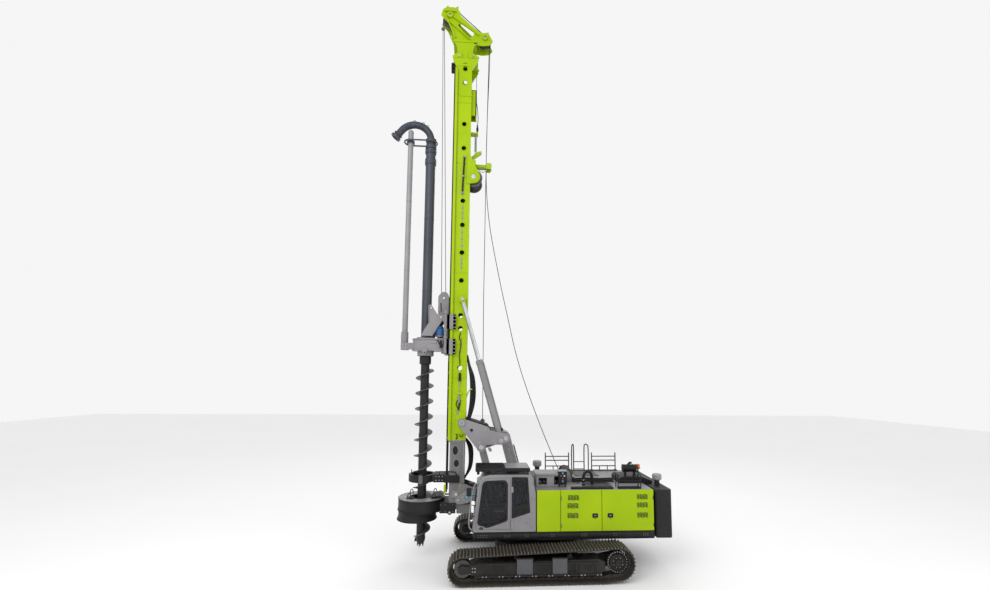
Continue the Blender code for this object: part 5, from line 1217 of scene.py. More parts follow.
def boom_parts():
    """The links between deck and mast, with their pins, hoses and cylinders."""
    for cad, made, edge in (("boom_bracket", "boom_stand", 0.008), ("boom", "boom_arm", 0.012),
                            ("front_link", "link_arm", 0.012), ("tripod", "tripod_plates", 0.008),
                            ("front_tank", "fuel_tank", 0.02), ("aux_winch_frame", "deck_winch_frame", 0.005),
                            ("luff_barrels", "luff_tubes", 0.004)):
        clad(cad, made, GREY, edge)
    stand, arm, tripod_trim = Build(BLACK), Build(GREY), Build(STEEL)
    for sign in (-1, 1):
        pin_cap(tripod_trim, STAY_FOOT, sign * 0.661, 0.070, sign)
        pin_cap(tripod_trim, LINK_HEAD, sign * 0.686, 0.080, sign)
        pin_cap(tripod_trim, BOOM_HEAD, sign * 0.661, 0.075, sign)
        tripod_trim.bolts([(-1.79, sign * 0.66, 3.70), (-1.36, sign * 0.66, 3.78), (-1.30, sign * 0.66, 3.70),
                           (-1.62, sign * 0.66, 4.12)], (0, sign, 0), 0.016, 0.012)
        tripod_trim.use(GREY)
        ys = (sign * 0.655, sign * 0.672)
        tripod_trim.plate([circle(*LINK_HEAD, 0.150, 28), circle(*LINK_HEAD, 0.082, 28)], *ys)
        tripod_trim.plate([circle(*STAY_FOOT, 0.115, 24), circle(*STAY_FOOT, 0.072, 24)], *ys)
        tripod_trim.plate([circle(-2.05, 4.09, 0.066, 20), circle(-2.05, 4.09, 0.048, 20)], *ys)
        # The black disc sunk in the grey ring is painted shade, standing in for the dark inside of the hole.
        tripod_trim.use(BLACK).plate(circle(-2.05, 4.09, 0.046, 20), sign * 0.655, sign * 0.664)
        tripod_trim.use(GREY).plate([(-1.50, 3.56), (-1.42, 3.52), (-1.40, 3.44), (-1.47, 3.42),
            (-1.53, 3.50)], sign * 0.58, sign * 0.65)
        tripod_trim.use(STEEL)
        arm.use(GREY)
        low = Vector(BOOM_FOOT) + Vector(ARM) * 0.22
        high = Vector(BOOM_FOOT) + Vector(ARM) * 0.78
        side = Vector((ARM[1], -ARM[0])).normalized()
        for edge in (side, -side):
            arm.plate([tuple(low + edge * 0.10), tuple(high + edge * 0.09), tuple(high + edge * 0.075),
                       tuple(low + edge * 0.085)], sign * 0.258, sign * 0.275)
        arm.use(STEEL)
        arm.bolts([(low.x, sign * 0.26, low.y), (high.x, sign * 0.26, high.y)], (0, sign, 0), 0.014, 0.012)
    chain = [(-2.24, 4.43), (-2.00, 4.34), (-1.80, 4.28), (-1.62, 4.24), (-1.50, 4.14), (-1.42, 4.02)]
    tripod_trim.use(RUBBER)
    for i, (x, z) in enumerate(smooth(chain, 5)):
        tripod_trim.box((x - 0.016, -0.57, z - 0.02), (x + 0.016, -0.49, z + 0.035))
    tripod_trim.use(GREY).box((-1.76, -0.06, 4.08), (-1.60, 0.06, 4.25))
    tripod_trim.use(WORN).plate(circle(-1.70, 4.32, 0.075, 20), -0.02, 0.02)
    tripod_trim.use(SKY).bar((-1.66, 4.36), -0.08, 0.08, 0.018, sides=10)
    tripod_trim.done("tripod_fittings", "tripod", "grey_paint", (), 0.002)
    for y in (-0.20, -0.12, -0.04, 0.05, 0.13, 0.21):
        stand.tube(smooth([(-0.30, y, 1.32), (-0.20, y, 1.75), (-0.26, y, 2.30), (-0.52, y * 0.95, 2.60)], 5),
            0.020, 8)
    stand.done("boom_stand_pins", "upper_structure", "machined_steel", (), 0.001)
    arm.use(BLACK)
    for i, y in enumerate((-0.16, -0.10, -0.04, 0.02)):
        hose = [(BOOM_FOOT[0] + ARM[0] * s + 0.19, y, BOOM_FOOT[1] + ARM[1] * s + 0.06 + 0.02 * (i % 2))
                for s in (0.18, 0.35, 0.5, 0.65, 0.8)]
        arm.tube(smooth(hose, 3), 0.017, 8)
    arm.done("boom_ribs", "boom", "grey_paint", (), 0.001)

    rods = Build(CHROME)
    rods.pin(LUFF_HEAD, LUFF_Y, 0.05, 24)
    for side, sign in (("left", -1), ("right", 1)):
        run = Vector((STAY_HEAD[0] - STAY_FOOT[0], 0, STAY_HEAD[1] - STAY_FOOT[1]))
        foot = Vector((STAY_FOOT[0], sign * STAY_Y, STAY_FOOT[1]))
        way = run.normalized()
        mouth = foot + run * 0.56
        barrel = Build(GREY)
        barrel.lathe([(0.10, 0.10), (0.10, (mouth - foot).length), (0.069, (mouth - foot).length),
            (0.069, 0.10)], foot, way, 40)
        barrel.pin(STAY_FOOT, 0.08, 0.105, 32, sign * STAY_Y)
        shaft = Build(CHROME).rod(foot + run * 0.40, foot + run - way * 0.02, 0.065, sides=40)
        shaft.use(LIME).pin(STAY_HEAD, 0.0845, 0.104, 32, sign * STAY_Y)
        shaft.done(f"stay_shaft_{side}", "stay_rods", "chrome_rod", (f"stay_rod_{side}",), 0.002)
        barrel.lathe([(0.112, 0), (0.112, 0.09), (0.104, 0.11), (0.071, 0.11), (0.071, 0)],
            mouth - way * 0.10, way, 28)
        barrel.lathe([(0.108, 0), (0.108, 0.03), (0.0995, 0.03), (0.0995, 0)], foot + run * 0.30, way, 28)
        barrel.use(WORN).bolts([mouth - way * 0.02 + Vector((0, sign * 0.112, 0))], (0, sign, 0), 0.012, 0.01)
        offset = Vector((way.z, 0, -way.x)) * 0.125
        barrel.use(GREY).tube([foot + way * 0.35 + offset, foot + way * 0.45 + offset,
            mouth - way * 0.10 + offset, mouth - way * 0.05 + offset * 0.8], 0.018, 8)
        barrel.use(STEEL)
        for share in (0.35, 0.62, 0.85):
            spot = foot + (mouth - foot) * share + offset
            barrel.rod(spot - way * 0.015, spot + way * 0.015, 0.026, sides=10)
        barrel.use(BLACK).box(foot + way * 0.30 + offset - Vector((0.05, 0.05, 0.05)),
                              foot + way * 0.30 + offset + Vector((0.03, 0.05, 0.05)))
        barrel.done(f"stay_tube_{side}", "stay_barrels", "grey_paint", (f"stay_barrel_{side}",), 0.002)
        eye = Build(LIME)
        eye.plate([circle(*STAY_HEAD, 0.115, 28), circle(*STAY_HEAD, 0.068, 28)],
                  sign * 0.405, sign * 0.545)
        eye.done(f"stay_eye_{side}", "stay_rods", "lime_paint", (), 0.003)
        luff = Build(GREY)
        rods.rod((LUFF_FOOT[0] + (LUFF_HEAD[0] - LUFF_FOOT[0]) * 0.5, sign * LUFF_Y,
            LUFF_FOOT[1] + (LUFF_HEAD[1] - LUFF_FOOT[1]) * 0.5), (LUFF_HEAD[0], sign * LUFF_Y, LUFF_HEAD[1]),
            0.05, sides=32)
        rods.pin(LUFF_HEAD, 0.065, 0.08, 28, sign * LUFF_Y)
        run = Vector((LUFF_HEAD[0] - LUFF_FOOT[0], 0, LUFF_HEAD[1] - LUFF_FOOT[1]))
        mouth = Vector((LUFF_FOOT[0], sign * LUFF_Y, LUFF_FOOT[1])) + run * 0.70
        luff.lathe([(0.095, 0), (0.095, 0.07), (0.056, 0.07), (0.056, 0)], mouth - run.normalized() * 0.06,
            run, 24)
        luff.done(f"luff_gland_{side}", "luff_barrels", "grey_paint", (), 0.002)
    rods.done("luff_shafts", "luff_rods", "chrome_rod", ("luff_rods",), 0.002)


boom_parts()


# ---------------------------------------------------------------- mast
def hose(build, points, radius=0.018, sides=8, steps=5):
    """A hose along a smooth curve through some points."""
    return build.tube(smooth(points, steps), radius, sides)


def mast_column():
    """The box column with its pin holes, front rails, flared top and the crowd winch's side plates."""
    x0, x1 = MAST_X
    low, wall = MAST_JOINT_Z + 0.0002, 0.02
    box = Build(LIME)
    flare = [(-2.91, 16.84), (-2.76, 16.50), (-2.70, 16.56), (-2.29, 16.56), (-2.23, 16.42), (-2.01, 16.80),
             (-2.05, 16.849), (-2.88, 16.849)]
    winch = hull(circle(*CROWD_DRUM, 0.22, 32) + [(-2.34, 13.23), (-2.34, 12.28), (-2.25, 13.33)])
    holes = [circle(HOLE_X, z, 0.08, 28) for z in HOLE_HEIGHTS]
    for sign in (-1, 1):
        face = (sign * (MAST_Y - wall), sign * MAST_Y)
        box.plate([[(x0, low), (x1, low), (x1, MAST_TOP), (x0, MAST_TOP)], *holes], *face)
        box.plate(flare, sign * MAST_Y, sign * (MAST_Y + 0.010))
        box.plate(winch, sign * MAST_Y, sign * (MAST_Y + 0.035))
        box.box((x0 - 0.055, sign * 0.24, low), (x0 + 0.03, sign * 0.42, 16.45))
        box.bar(MAST_PIN, sign * MAST_Y, sign * 0.56, 0.13, sides=32)
        box.bar(MAST_PIN, sign * 0.56, sign * 0.70, 0.07, sides=24)
        box.bar(STAY_HEAD, sign * MAST_Y, sign * 0.60, 0.05, sides=24)
        box.box((-2.15, sign * 0.07, 13.00), (-1.56, sign * 0.10, 13.11))
    inner = MAST_Y - wall
    box.box((x0, -inner, low), (x0 + wall, inner, MAST_TOP)).box((x0, -inner, MAST_TOP - wall),
        (x1, inner, MAST_TOP))
    for z0, z1 in ((low, 12.18), (12.88, MAST_TOP)):
        box.box((x1 - wall, -inner, z0), (x1, inner, z1))
    for wedge in ([(-2.91, 16.84), (-2.76, 16.50), (x0 + 0.001, 16.849), (-2.88, 16.849)],
                  [(-2.01, 16.80), (-2.23, 16.42), (x1 - 0.001, 16.849), (-2.05, 16.849)]):
        for sign in (-1, 1):
            box.plate(hull(wedge), sign * 0.30, sign * (MAST_Y + 0.009))
        box.box((min(p[0] for p in wedge) + 0.02, -0.31, 16.815),
            (max(p[0] for p in wedge) - 0.02, 0.31, 16.845))
    box.bar(CROWD_DRUM, -MAST_Y - 0.03, MAST_Y + 0.03, 0.06)
    box.box((-2.20, -MAST_Y - 0.02, 12.98), (-2.05, MAST_Y + 0.02, 13.13)).box((-1.61, -0.09, 13.01),
        (-1.565, 0.09, 13.10))
    box.done("mast_box_column", "mast", "lime_paint", ("mast",), 0.006)


def mast():
    """The column, and what is fixed to it: hole rims, straps, brackets, hose runs and side hydraulics."""
    x0, x1 = MAST_X
    mast_column()
    trim = Build(LIME)
    for sign in (-1, 1):
        face = sign * MAST_Y
        ys = (face, face + sign * 0.010)
        for z in HOLE_HEIGHTS:
            trim.use(LIME).plate([circle(HOLE_X, z, 0.104, 28), circle(HOLE_X, z, 0.080, 28)], *ys)
        trim.use(LIME)
        for z in (9.20, 5.72, 13.02, 15.20):
            trim.box((x0 + 0.035, ys[0], z - 0.010), (x1 - 0.004, ys[1], z + 0.010))
        trim.box((x0 + 0.055, ys[0], 3.80), (x0 + 0.068, ys[1], 16.30))
        trim.use(PALE_GREY)
        for za, zb in ((9.30, 9.76), (10.02, 10.70), (10.98, 11.54), (11.82, 12.20)):
            trim.box((-2.487, ys[0], za), (-2.462, ys[1] + sign * 0.006 * (sign > 0), zb))
            for zc in (za + 0.10, (za + zb) / 2, zb - 0.10):
                trim.box((-2.50, face, zc - 0.02), (-2.45, face + sign * 0.022, zc + 0.02))
        trim.use(STEEL)
        trim.bar(MAST_PIN, sign * 0.695, sign * 0.715, 0.090, sides=28)
        trim.use(GREY).bar(MAST_PIN, sign * 0.714, sign * 0.724, 0.062, sides=24)
        trim.use(STEEL).bar(STAY_HEAD, sign * 0.598, sign * 0.615, 0.052, sides=24)
        trim.use(LIME).plate([(-2.60, 3.95), (-2.26, 3.95), (-2.24, 4.30), (-2.26, 4.62), (-2.52, 4.66)],
                             sign * 0.348, sign * 0.40)
        for zz in (16.50, 16.62):
            trim.use(BLACK).tube([(-2.47 + 0.07 * cos(a), face + sign * 0.012, zz + 0.05 * sin(a))
                                  for a in (0.3, 0.9, 1.57, 2.2, 2.8)], 0.009, 6)
    trim.use(LIME)
    for y in (-0.20, 0.17):
        trim.plate([(x1 - 0.004, 14.84), (-2.06, 14.84), (-2.06, 15.78), (x1 - 0.004, 15.78)], y, y + 0.03)
    trim.box((-2.10, -0.20, 14.84), (-2.06, 0.20, 15.78)).box((x1 - 0.004, -0.20, 15.76),
        (-2.06, 0.20, 15.79))
    trim.box((x1 - 0.004, -0.12, 14.23), (-1.99, 0.12, 14.27)).box((-2.62, -0.365, 15.44),
        (-2.22, -0.349, 15.49))
    trim.use(BLACK)
    trim.post((-2.02, 0), 14.26, 14.60, 0.026, sides=12).post((-2.02, 0), 14.40, 14.50, 0.04, sides=10)
    hose(trim, [(-2.02, 0, 14.60), (-2.00, 0, 14.85), (-2.03, 0, 15.25), (-2.06, 0, 15.42)], 0.012)
    trim.use(ROPE).tube([(-2.06, 0.10, 15.42), (-2.08, 0.10, 16.73)], 0.009, 6)
    trim.use(PALE_GREY).post((-2.07, 0), 13.61, 14.23, 0.040, sides=14)
    trim.use(LIME).plate([(-2.28, 13.33), (-2.22, 13.28), (-1.86, 13.54), (-1.86, 13.63), (-2.00, 13.60)],
        -0.05, 0.05)
    trim.use(STEEL).pin((-2.07, 13.56), 0.08, 0.03).pin((-1.90, 13.58), 0.08, 0.025)
    x, z = CROWD_DRUM
    for sign in (-1, 1):
        ys = (sign * 0.384, sign * 0.400)
        trim.use(LIME).plate([circle(x, z, 0.175, 32), circle(x, z, 0.10, 32)], *ys)
        pin_cap(trim.use(STEEL), (x, z), sign * 0.384, 0.085, sign)
    trim.use(LIME)
    for y in (-0.16, 0.13):
        trim.plate([(-1.70, 12.95), (-1.56, 12.93), (-1.50, 13.02), (-1.52, 13.14), (-1.66, 13.16)], y,
            y + 0.03)
    trim.use(WORN).ring((-1.59, -0.035, 13.04), ALONG_Y, 0.075, 0.03, 0.07)
    trim.use(GREY)
    trim.tube([(x, -0.19, z) for x, z in oval(-1.81, 12.88, 0.13, 0.09, 20)], 0.012, 8, True)
    trim.use(BLACK).rod((-2.49, -0.375, 11.95), (-2.44, -0.375, 13.25), 0.028, sides=12)
    trim.use(PALE_GREY)
    for share in (0.0, 0.45, 0.98):
        spot = Vector((-2.49, -0.375, 11.95)).lerp(Vector((-2.44, -0.375, 13.25)), share)
        trim.rod(spot - Vector((0, 0, 0.03)), spot + Vector((0, 0, 0.03)), 0.040, sides=12)
    trim.done("mast_fittings", "mast", "lime_paint", (), 0.002)

    lines = Build(BLACK)
    lines.box((-2.862, -0.20, 3.70), (-2.76, 0.20, 6.35))
    for sign in (-1, 1):
        lines.tube([(-2.832, sign * 0.175, 2.10), (-2.832, sign * 0.175, 3.72)], 0.028, 8)
        lines.tube([(-2.832, sign * 0.18, 3.6), (-2.832, sign * 0.18, 16.60)], 0.026, 8)
    for z in (3.8, 4.8, 5.4, 5.9, 6.3):
        lines.use(WORN).box((-2.862, -0.23, z - 0.03), (-2.76, 0.23, z + 0.03)).use(BLACK)
    for i in range(10):
        y, dx = -0.20 + 0.045 * i, 0.036 * (i % 5)
        hose(lines, [(-2.23, y, 6.48 - 0.05 * (i % 3)), (-2.19 + dx * 0.3, y, 6.15),
            (-2.12 + dx * 0.8, y, 5.75), (-2.10 + dx, y, 5.25), (-2.12 + dx * 0.9, y, 4.85),
            (-2.17 + dx * 0.6, y, 4.50), (-2.21, y, 4.20)], 0.025)
    for i in range(8):
        y, dx = -0.18 + 0.05 * i, 0.034 * (i % 4)
        hose(lines, [(-2.23, y, 3.74), (-2.14 + dx, y, 3.48), (-2.11 + dx, y, 3.12),
            (-2.14 + dx * 0.7, y, 2.80), (-2.25, y, 2.52)], 0.024)
    lines.done("mast_hose_bundle", "mast", "charcoal_paint")

    side = Build(BLACK)
    f = -0.372
    hose(side, [(-2.46, f, 7.20), (-2.50, f, 7.02), (-2.44, f, 6.88), (-2.46, f, 6.66), (-2.49, f, 6.48),
        (-2.47, f, 6.30), (-2.47, f, 6.16)], 0.014)
    side.use(TAN)
    hose(side, [(-2.42, f, 7.02), (-2.47, f, 6.80), (-2.44, f, 6.55)], 0.010)
    side.use(BLACK).post((-2.46, f - 0.01), 5.62, 5.88, 0.045, 0.036, 12)
    side.use(STEEL).post((-2.46, f), 5.28, 5.62, 0.014, sides=10)
    side.use(LIME).box((-2.54, f - 0.03, 5.20), (-2.38, -0.349, 5.26))
    side.use(GREY).post((-2.47, f - 0.012), 4.93, 5.18, 0.038, sides=14)
    side.use(BLACK)
    hose(side, [(-2.52, f, 5.02), (-2.56, f, 4.88), (-2.50, f, 4.76), (-2.44, f, 4.86), (-2.42, f, 5.02)],
        0.013)
    side.rod((-2.49, f - 0.01, 4.70), (-2.45, f - 0.01, 4.92), 0.030, 0.024, 12)
    side.use(PALE_GREY).post((-2.50, f - 0.01), 4.55, 4.70, 0.034, sides=12)
    side.use(BLACK)
    hose(side, [(-2.50, f, 4.55), (-2.53, f, 4.40), (-2.52, f, 4.15), (-2.53, f, 3.95), (-2.50, f, 3.82)],
        0.014)
    hose(side, [(-2.52, f, 4.40), (-2.44, f, 4.50), (-2.34, f, 4.56), (-2.26, f, 4.60)], 0.012)
    hose(side, [(-2.44, f - 0.035, 3.90), (-2.38, f - 0.035, 3.86), (-2.31, f - 0.035, 3.90)], 0.012)
    for z in (3.80, 3.98, 4.36):
        side.ring((-2.53, f + 0.005, z), LEFT, 0.030, 0.014, 0.018, 12)
    side.use(LIME)
    side.tube([(-2.26, -0.30, 5.05), (-2.18, -0.30, 5.28), (-2.09, -0.30, 5.38), (-2.06, -0.30, 5.34)], 0.022,
        8)
    side.done("mast_side_hydraulics", "mast", "charcoal_paint")


def mast_foot():
    """The lower mast with its pulleys, the auger guide and the auger casing."""
    clad("lower_mast", "mast_foot_section", MID_GREY, 0.006)
    trim = Build(BLACK)
    for sign in (-1, 1):
        face = sign * 0.34
        ys = (face - sign * 0.002, face + sign * 0.010)
        for (x, z), w, h in (((-2.56, 3.42), 0.085, 0.14), ((-2.52, 3.02), 0.085, 0.115)):
            # The black oval inside each grey rim is painted shade: a flat sheet standing in for the dark
            # inside of the opening.
            inside = oval(x, z, w, h)
            trim.use(GREY).plate([oval(x, z, w + 0.02, h + 0.02), inside], *ys)
            trim.use(BLACK).plate(inside, face - sign * 0.002, face + sign * 0.003)
        trim.use(GREY)
        for x in (-2.70, -2.30):
            trim.box((x - 0.015, ys[0], 2.75), (x + 0.015, ys[1], 3.66))
        trim.use(STEEL)
        for i in range(6):
            trim.bolt((-2.70 + 0.085 * i, sign * 0.340, 3.715), (0, sign, 0), 0.011, 0.010)
        x, z = MAIN_DRUM
        trim.use(GREY).plate([circle(x, z, 0.155, 28), circle(x, z, 0.095, 28)], sign * 0.384, sign * 0.402)
        trim.use(SKY).bar((x, z), sign * 0.385, sign * 0.425, 0.088, 0.078, 24)
        trim.use(STEEL).bolt_ring((x, z), sign * 0.402, 0.125, around(6), sign, 0.010, 0.009)
    for sign in (-1, 1):
        ys = (sign * 0.402, sign * 0.425)
        trim.use(GREY).plate(hull(circle(*FOOT_PULLEY, 0.19, 24) + circle(-2.42, 1.90, 0.12, 20)), *ys)
        trim.plate([circle(*FOOT_PULLEY, 0.145, 28), circle(*FOOT_PULLEY, 0.085, 28)], sign * 0.425,
            sign * 0.440)
        trim.use(SKY).bar(FOOT_PULLEY, sign * 0.424, sign * 0.452, 0.060, 0.050, 24)
        trim.use(STEEL)
        trim.bolt_ring(FOOT_PULLEY, sign * 0.440, 0.118, around(8), sign, 0.011, 0.010)
        trim.bolt((-2.44, sign * 0.425, 1.90), (0, sign, 0), 0.020, 0.014)
    trim.use(BLACK).bar((-2.05, 2.30), -0.30, 0.05, 0.085, sides=20)
    trim.bar((-2.05, 2.30), -0.315, -0.30, 0.095, sides=20)
    trim.use(HOSE_YELLOW)
    for k in range(3):
        hose(trim, [(-2.20 - 0.03 * k, -0.360, 2.20), (-2.34 - 0.02 * k, -0.375, 2.36 + 0.03 * k),
                    (-2.42, -0.375, 2.30 - 0.05 * k), (-2.47, -0.365, 2.16 - 0.05 * k)], 0.010)
    trim.use(GREY).plate([(-2.68, 1.98), (-2.42, 1.94), (-2.34, 2.04), (-2.40, 2.16), (-2.62, 2.20)], -0.375,
        -0.335)
    trim.use(STEEL).bar((-2.51, 2.07), -0.38, -0.35, 0.045, sides=20)
    trim.use(LIME).box((-2.90, -0.36, 2.08), (-2.84, -0.33, 2.36)).use(WORN).box((-2.86, -0.36, 2.05),
        (-2.73, -0.33, 2.10))
    trim.done("mast_foot_fittings", "mast", "grey_paint", (), 0.0015)

    clad("guide_arm", "auger_guide", CHARCOAL, 0.006)
    guide = Build(BLACK)
    for z in (2.425, 2.655):
        guide.box((-3.24, -0.265, z - 0.008), (-2.90, 0.265, z + 0.008))
    guide.use(STEEL)
    for x in (-3.16, -3.06, -2.96):
        guide.bolts([(x, -0.262, 2.60), (x, -0.262, 2.48)], LEFT, 0.011, 0.010)
    guide.bolt_crown((DRILL_X, 0), 2.652, 0.385, around(6, 0.3), 0.012, 0.012)
    guide.use(BLACK)
    guide.tube([(-3.05, -0.30, 2.66), (-3.05, -0.30, 2.76), (-2.80, -0.36, 2.77), (-2.55, -0.37, 2.75),
                (-2.50, -0.37, 2.66)], 0.016, 8)
    guide.tube([(-3.94, -0.12, 2.66), (-3.95, -0.12, 2.80)], 0.014, 8)
    guide.use(WORN)
    for sign in (-1, 1):
        guide.box((-3.68, sign * 0.40, 2.42), (-3.56, sign * 0.47, 2.66))
        guide.post((-3.62, sign * 0.46), 2.40, 2.70, 0.020, sides=12)
    guide.done("auger_guide_fittings", "mast", "charcoal_paint", (), 0.002)

    clad("soil_catcher", "auger_casing", CHARCOAL, 0.006)
    # The thin pale grey skin over the charcoal casing's top is a painted highlight: the sky's sheen on the
    # upward face, set into its colour.
    casing = Build(PALE_GREY)
    casing.ring((DRILL_X, 0, 1.931), UP, 0.722, 0.372, 0.006, 64)
    casing.use(CHARCOAL)
    for z, out in ((1.905, 0.010), (1.565, 0.018)):
        casing.ring((DRILL_X, 0, z), UP, 0.73 + out, out + 0.004, 0.022, 64)
    casing.ring((-3.75, 0, 1.268), UP, 0.632, 0.03, 0.014, 64)
    casing.use(BLACK)
    for x, y in ((-3.98, -0.28), (-3.20, -0.38), (-3.98, 0.30), (-3.22, 0.36)):
        casing.tube([(x - 0.045, y, 1.93), (x - 0.045, y, 2.02), (x - 0.03, y, 2.07), (x, y, 2.09),
            (x + 0.03, y, 2.07), (x + 0.045, y, 2.02), (x + 0.045, y, 1.93)], 0.014, 8)
    casing.slab([rounded([(-4.08, -0.30), (-3.86, -0.40), (-3.80, -0.20), (-4.00, -0.10)], 0.03)], 1.936,
        1.962)
    casing.plate(hull([(-3.32, 1.937), (-3.22, 1.99), (-3.04, 2.03), (-2.95, 1.99), (-2.93, 1.937)]), -0.34,
        0.34)
    casing.use(WORN)
    casing.bolt_crown((DRILL_X, 0), 1.936, 0.675, around(16, pi / 16), 0.012, 0.010)
    for x in (-2.98, -2.84, -2.60):
        casing.bolts([(x, -0.402, 1.76), (x, -0.402, 1.56)], LEFT, 0.014, 0.012)
    casing.use(CHARCOAL).bar((-2.70, 1.53), -0.40, 0.40, 0.075, sides=24)
    casing.use(STEEL).bar((-2.70, 1.53), -0.425, 0.425, 0.035, sides=16)
    casing.done("casing_top", "mast", "charcoal_paint", (), 0.002)


LAY, LAY_STEPS = 0.024, 20


def winch_drum(cad, name, place, radius, flange, half, body):
    """A rope drum with the wound rope showing between its flanges."""
    x, z = place
    drum = Build(WORN)
    for sign in (-1, 1):
        drum.lathe([(flange, 0), (flange, 0.02), (0.065, 0.02), (0.065, 0)],
            (x, sign * (half - 0.010) - 0.010, z), ALONG_Y, 40)
    drum.lathe([(radius - 0.012, -half + 0.02), (radius - 0.012, half - 0.02), (0.065, half - 0.02),
        (0.065, -half + 0.02)], (x, 0, z), ALONG_Y, 32)
    drum.use(ROPE)
    count = int((2 * half - 0.06) / LAY)
    line = [(x + radius * cos(t), -half + 0.035 + LAY * t / (2 * pi), z + radius * sin(t))
            for t in (2 * pi * i / LAY_STEPS for i in range(LAY_STEPS * count))]
    drum.tube(line, 0.0115, 6)
    drum.done(name, body, "machined_steel", (cad,), 0.002)


def ropes():
    """The taut working ropes over the head."""
    main = Build(ROPE)
    x, z = HEAD_SHEAVE
    xr, zr = REAR_SHEAVE
    main.tube([(-1.64, 0.0, 17.62), (-1.67, 0.0, 15.4), (-1.70, -0.02, 12.60), (-1.71, -0.02, 10.0),
        (-1.72, -0.02, 8.36)], 0.011, 6)
    over = [(xr + 0.20 * cos(a), -0.035, zr + 0.20 * sin(a)) for a in (0.0, 0.35, 0.7)]
    over += [(x + 0.262 * cos(a), -0.035, z + 0.262 * sin(a)) for a in (0.72, 1.2, 1.7, 2.3, 2.8, 3.14)]
    main.tube([(-1.60, -0.035, 17.5), *over, (-3.30, -0.035, 18.17)], 0.011, 6)
    main.tube([(-2.80, -0.11, 18.76), (-2.72, -0.11, 18.76), (-2.30, -0.11, 18.38), (-1.88, -0.11, 18.00)],
        0.015, 8)
    main.use(WORN).post((-3.30, -0.035), 18.15, 18.19, 0.065, sides=20)
    main.done("working_rope_top", "mast", "wire_rope")
    for name, line in (("sled_rope_a", [(-3.30, -0.035, 18.17), (-3.29, -0.03, 15.1), (-3.25, -0.02, 9.71),
            (-3.14, 0, 8.46)]), ("sled_rope_b", [(-3.27, 0.12, 18.40), (-3.20, 0.11, 15.31),
            (-3.04, 0.08, 9.44), (-3.00, 0.06, 8.46)])):
        count = 40
        points = [Vector(line[0]).lerp(Vector(line[-1]), i / count) for i in range(count + 1)]
        strand = Build(ROPE).tube(points, 0.010, 6).done(name, None, "wire_rope")
        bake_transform(strand)
    tail = Build(ROPE)
    count = 30
    low, high = Vector((-1.70, -0.02, 4.36)), Vector((-1.72, -0.02, 8.36))
    strand = tail.tube([low.lerp(high, i / count) for i in range(count + 1)], 0.011, 6)
    strand = strand.done("working_rope_tail", None, "wire_rope")
    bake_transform(strand)


HEAD_PLATE_Y = (0.22, 0.25)


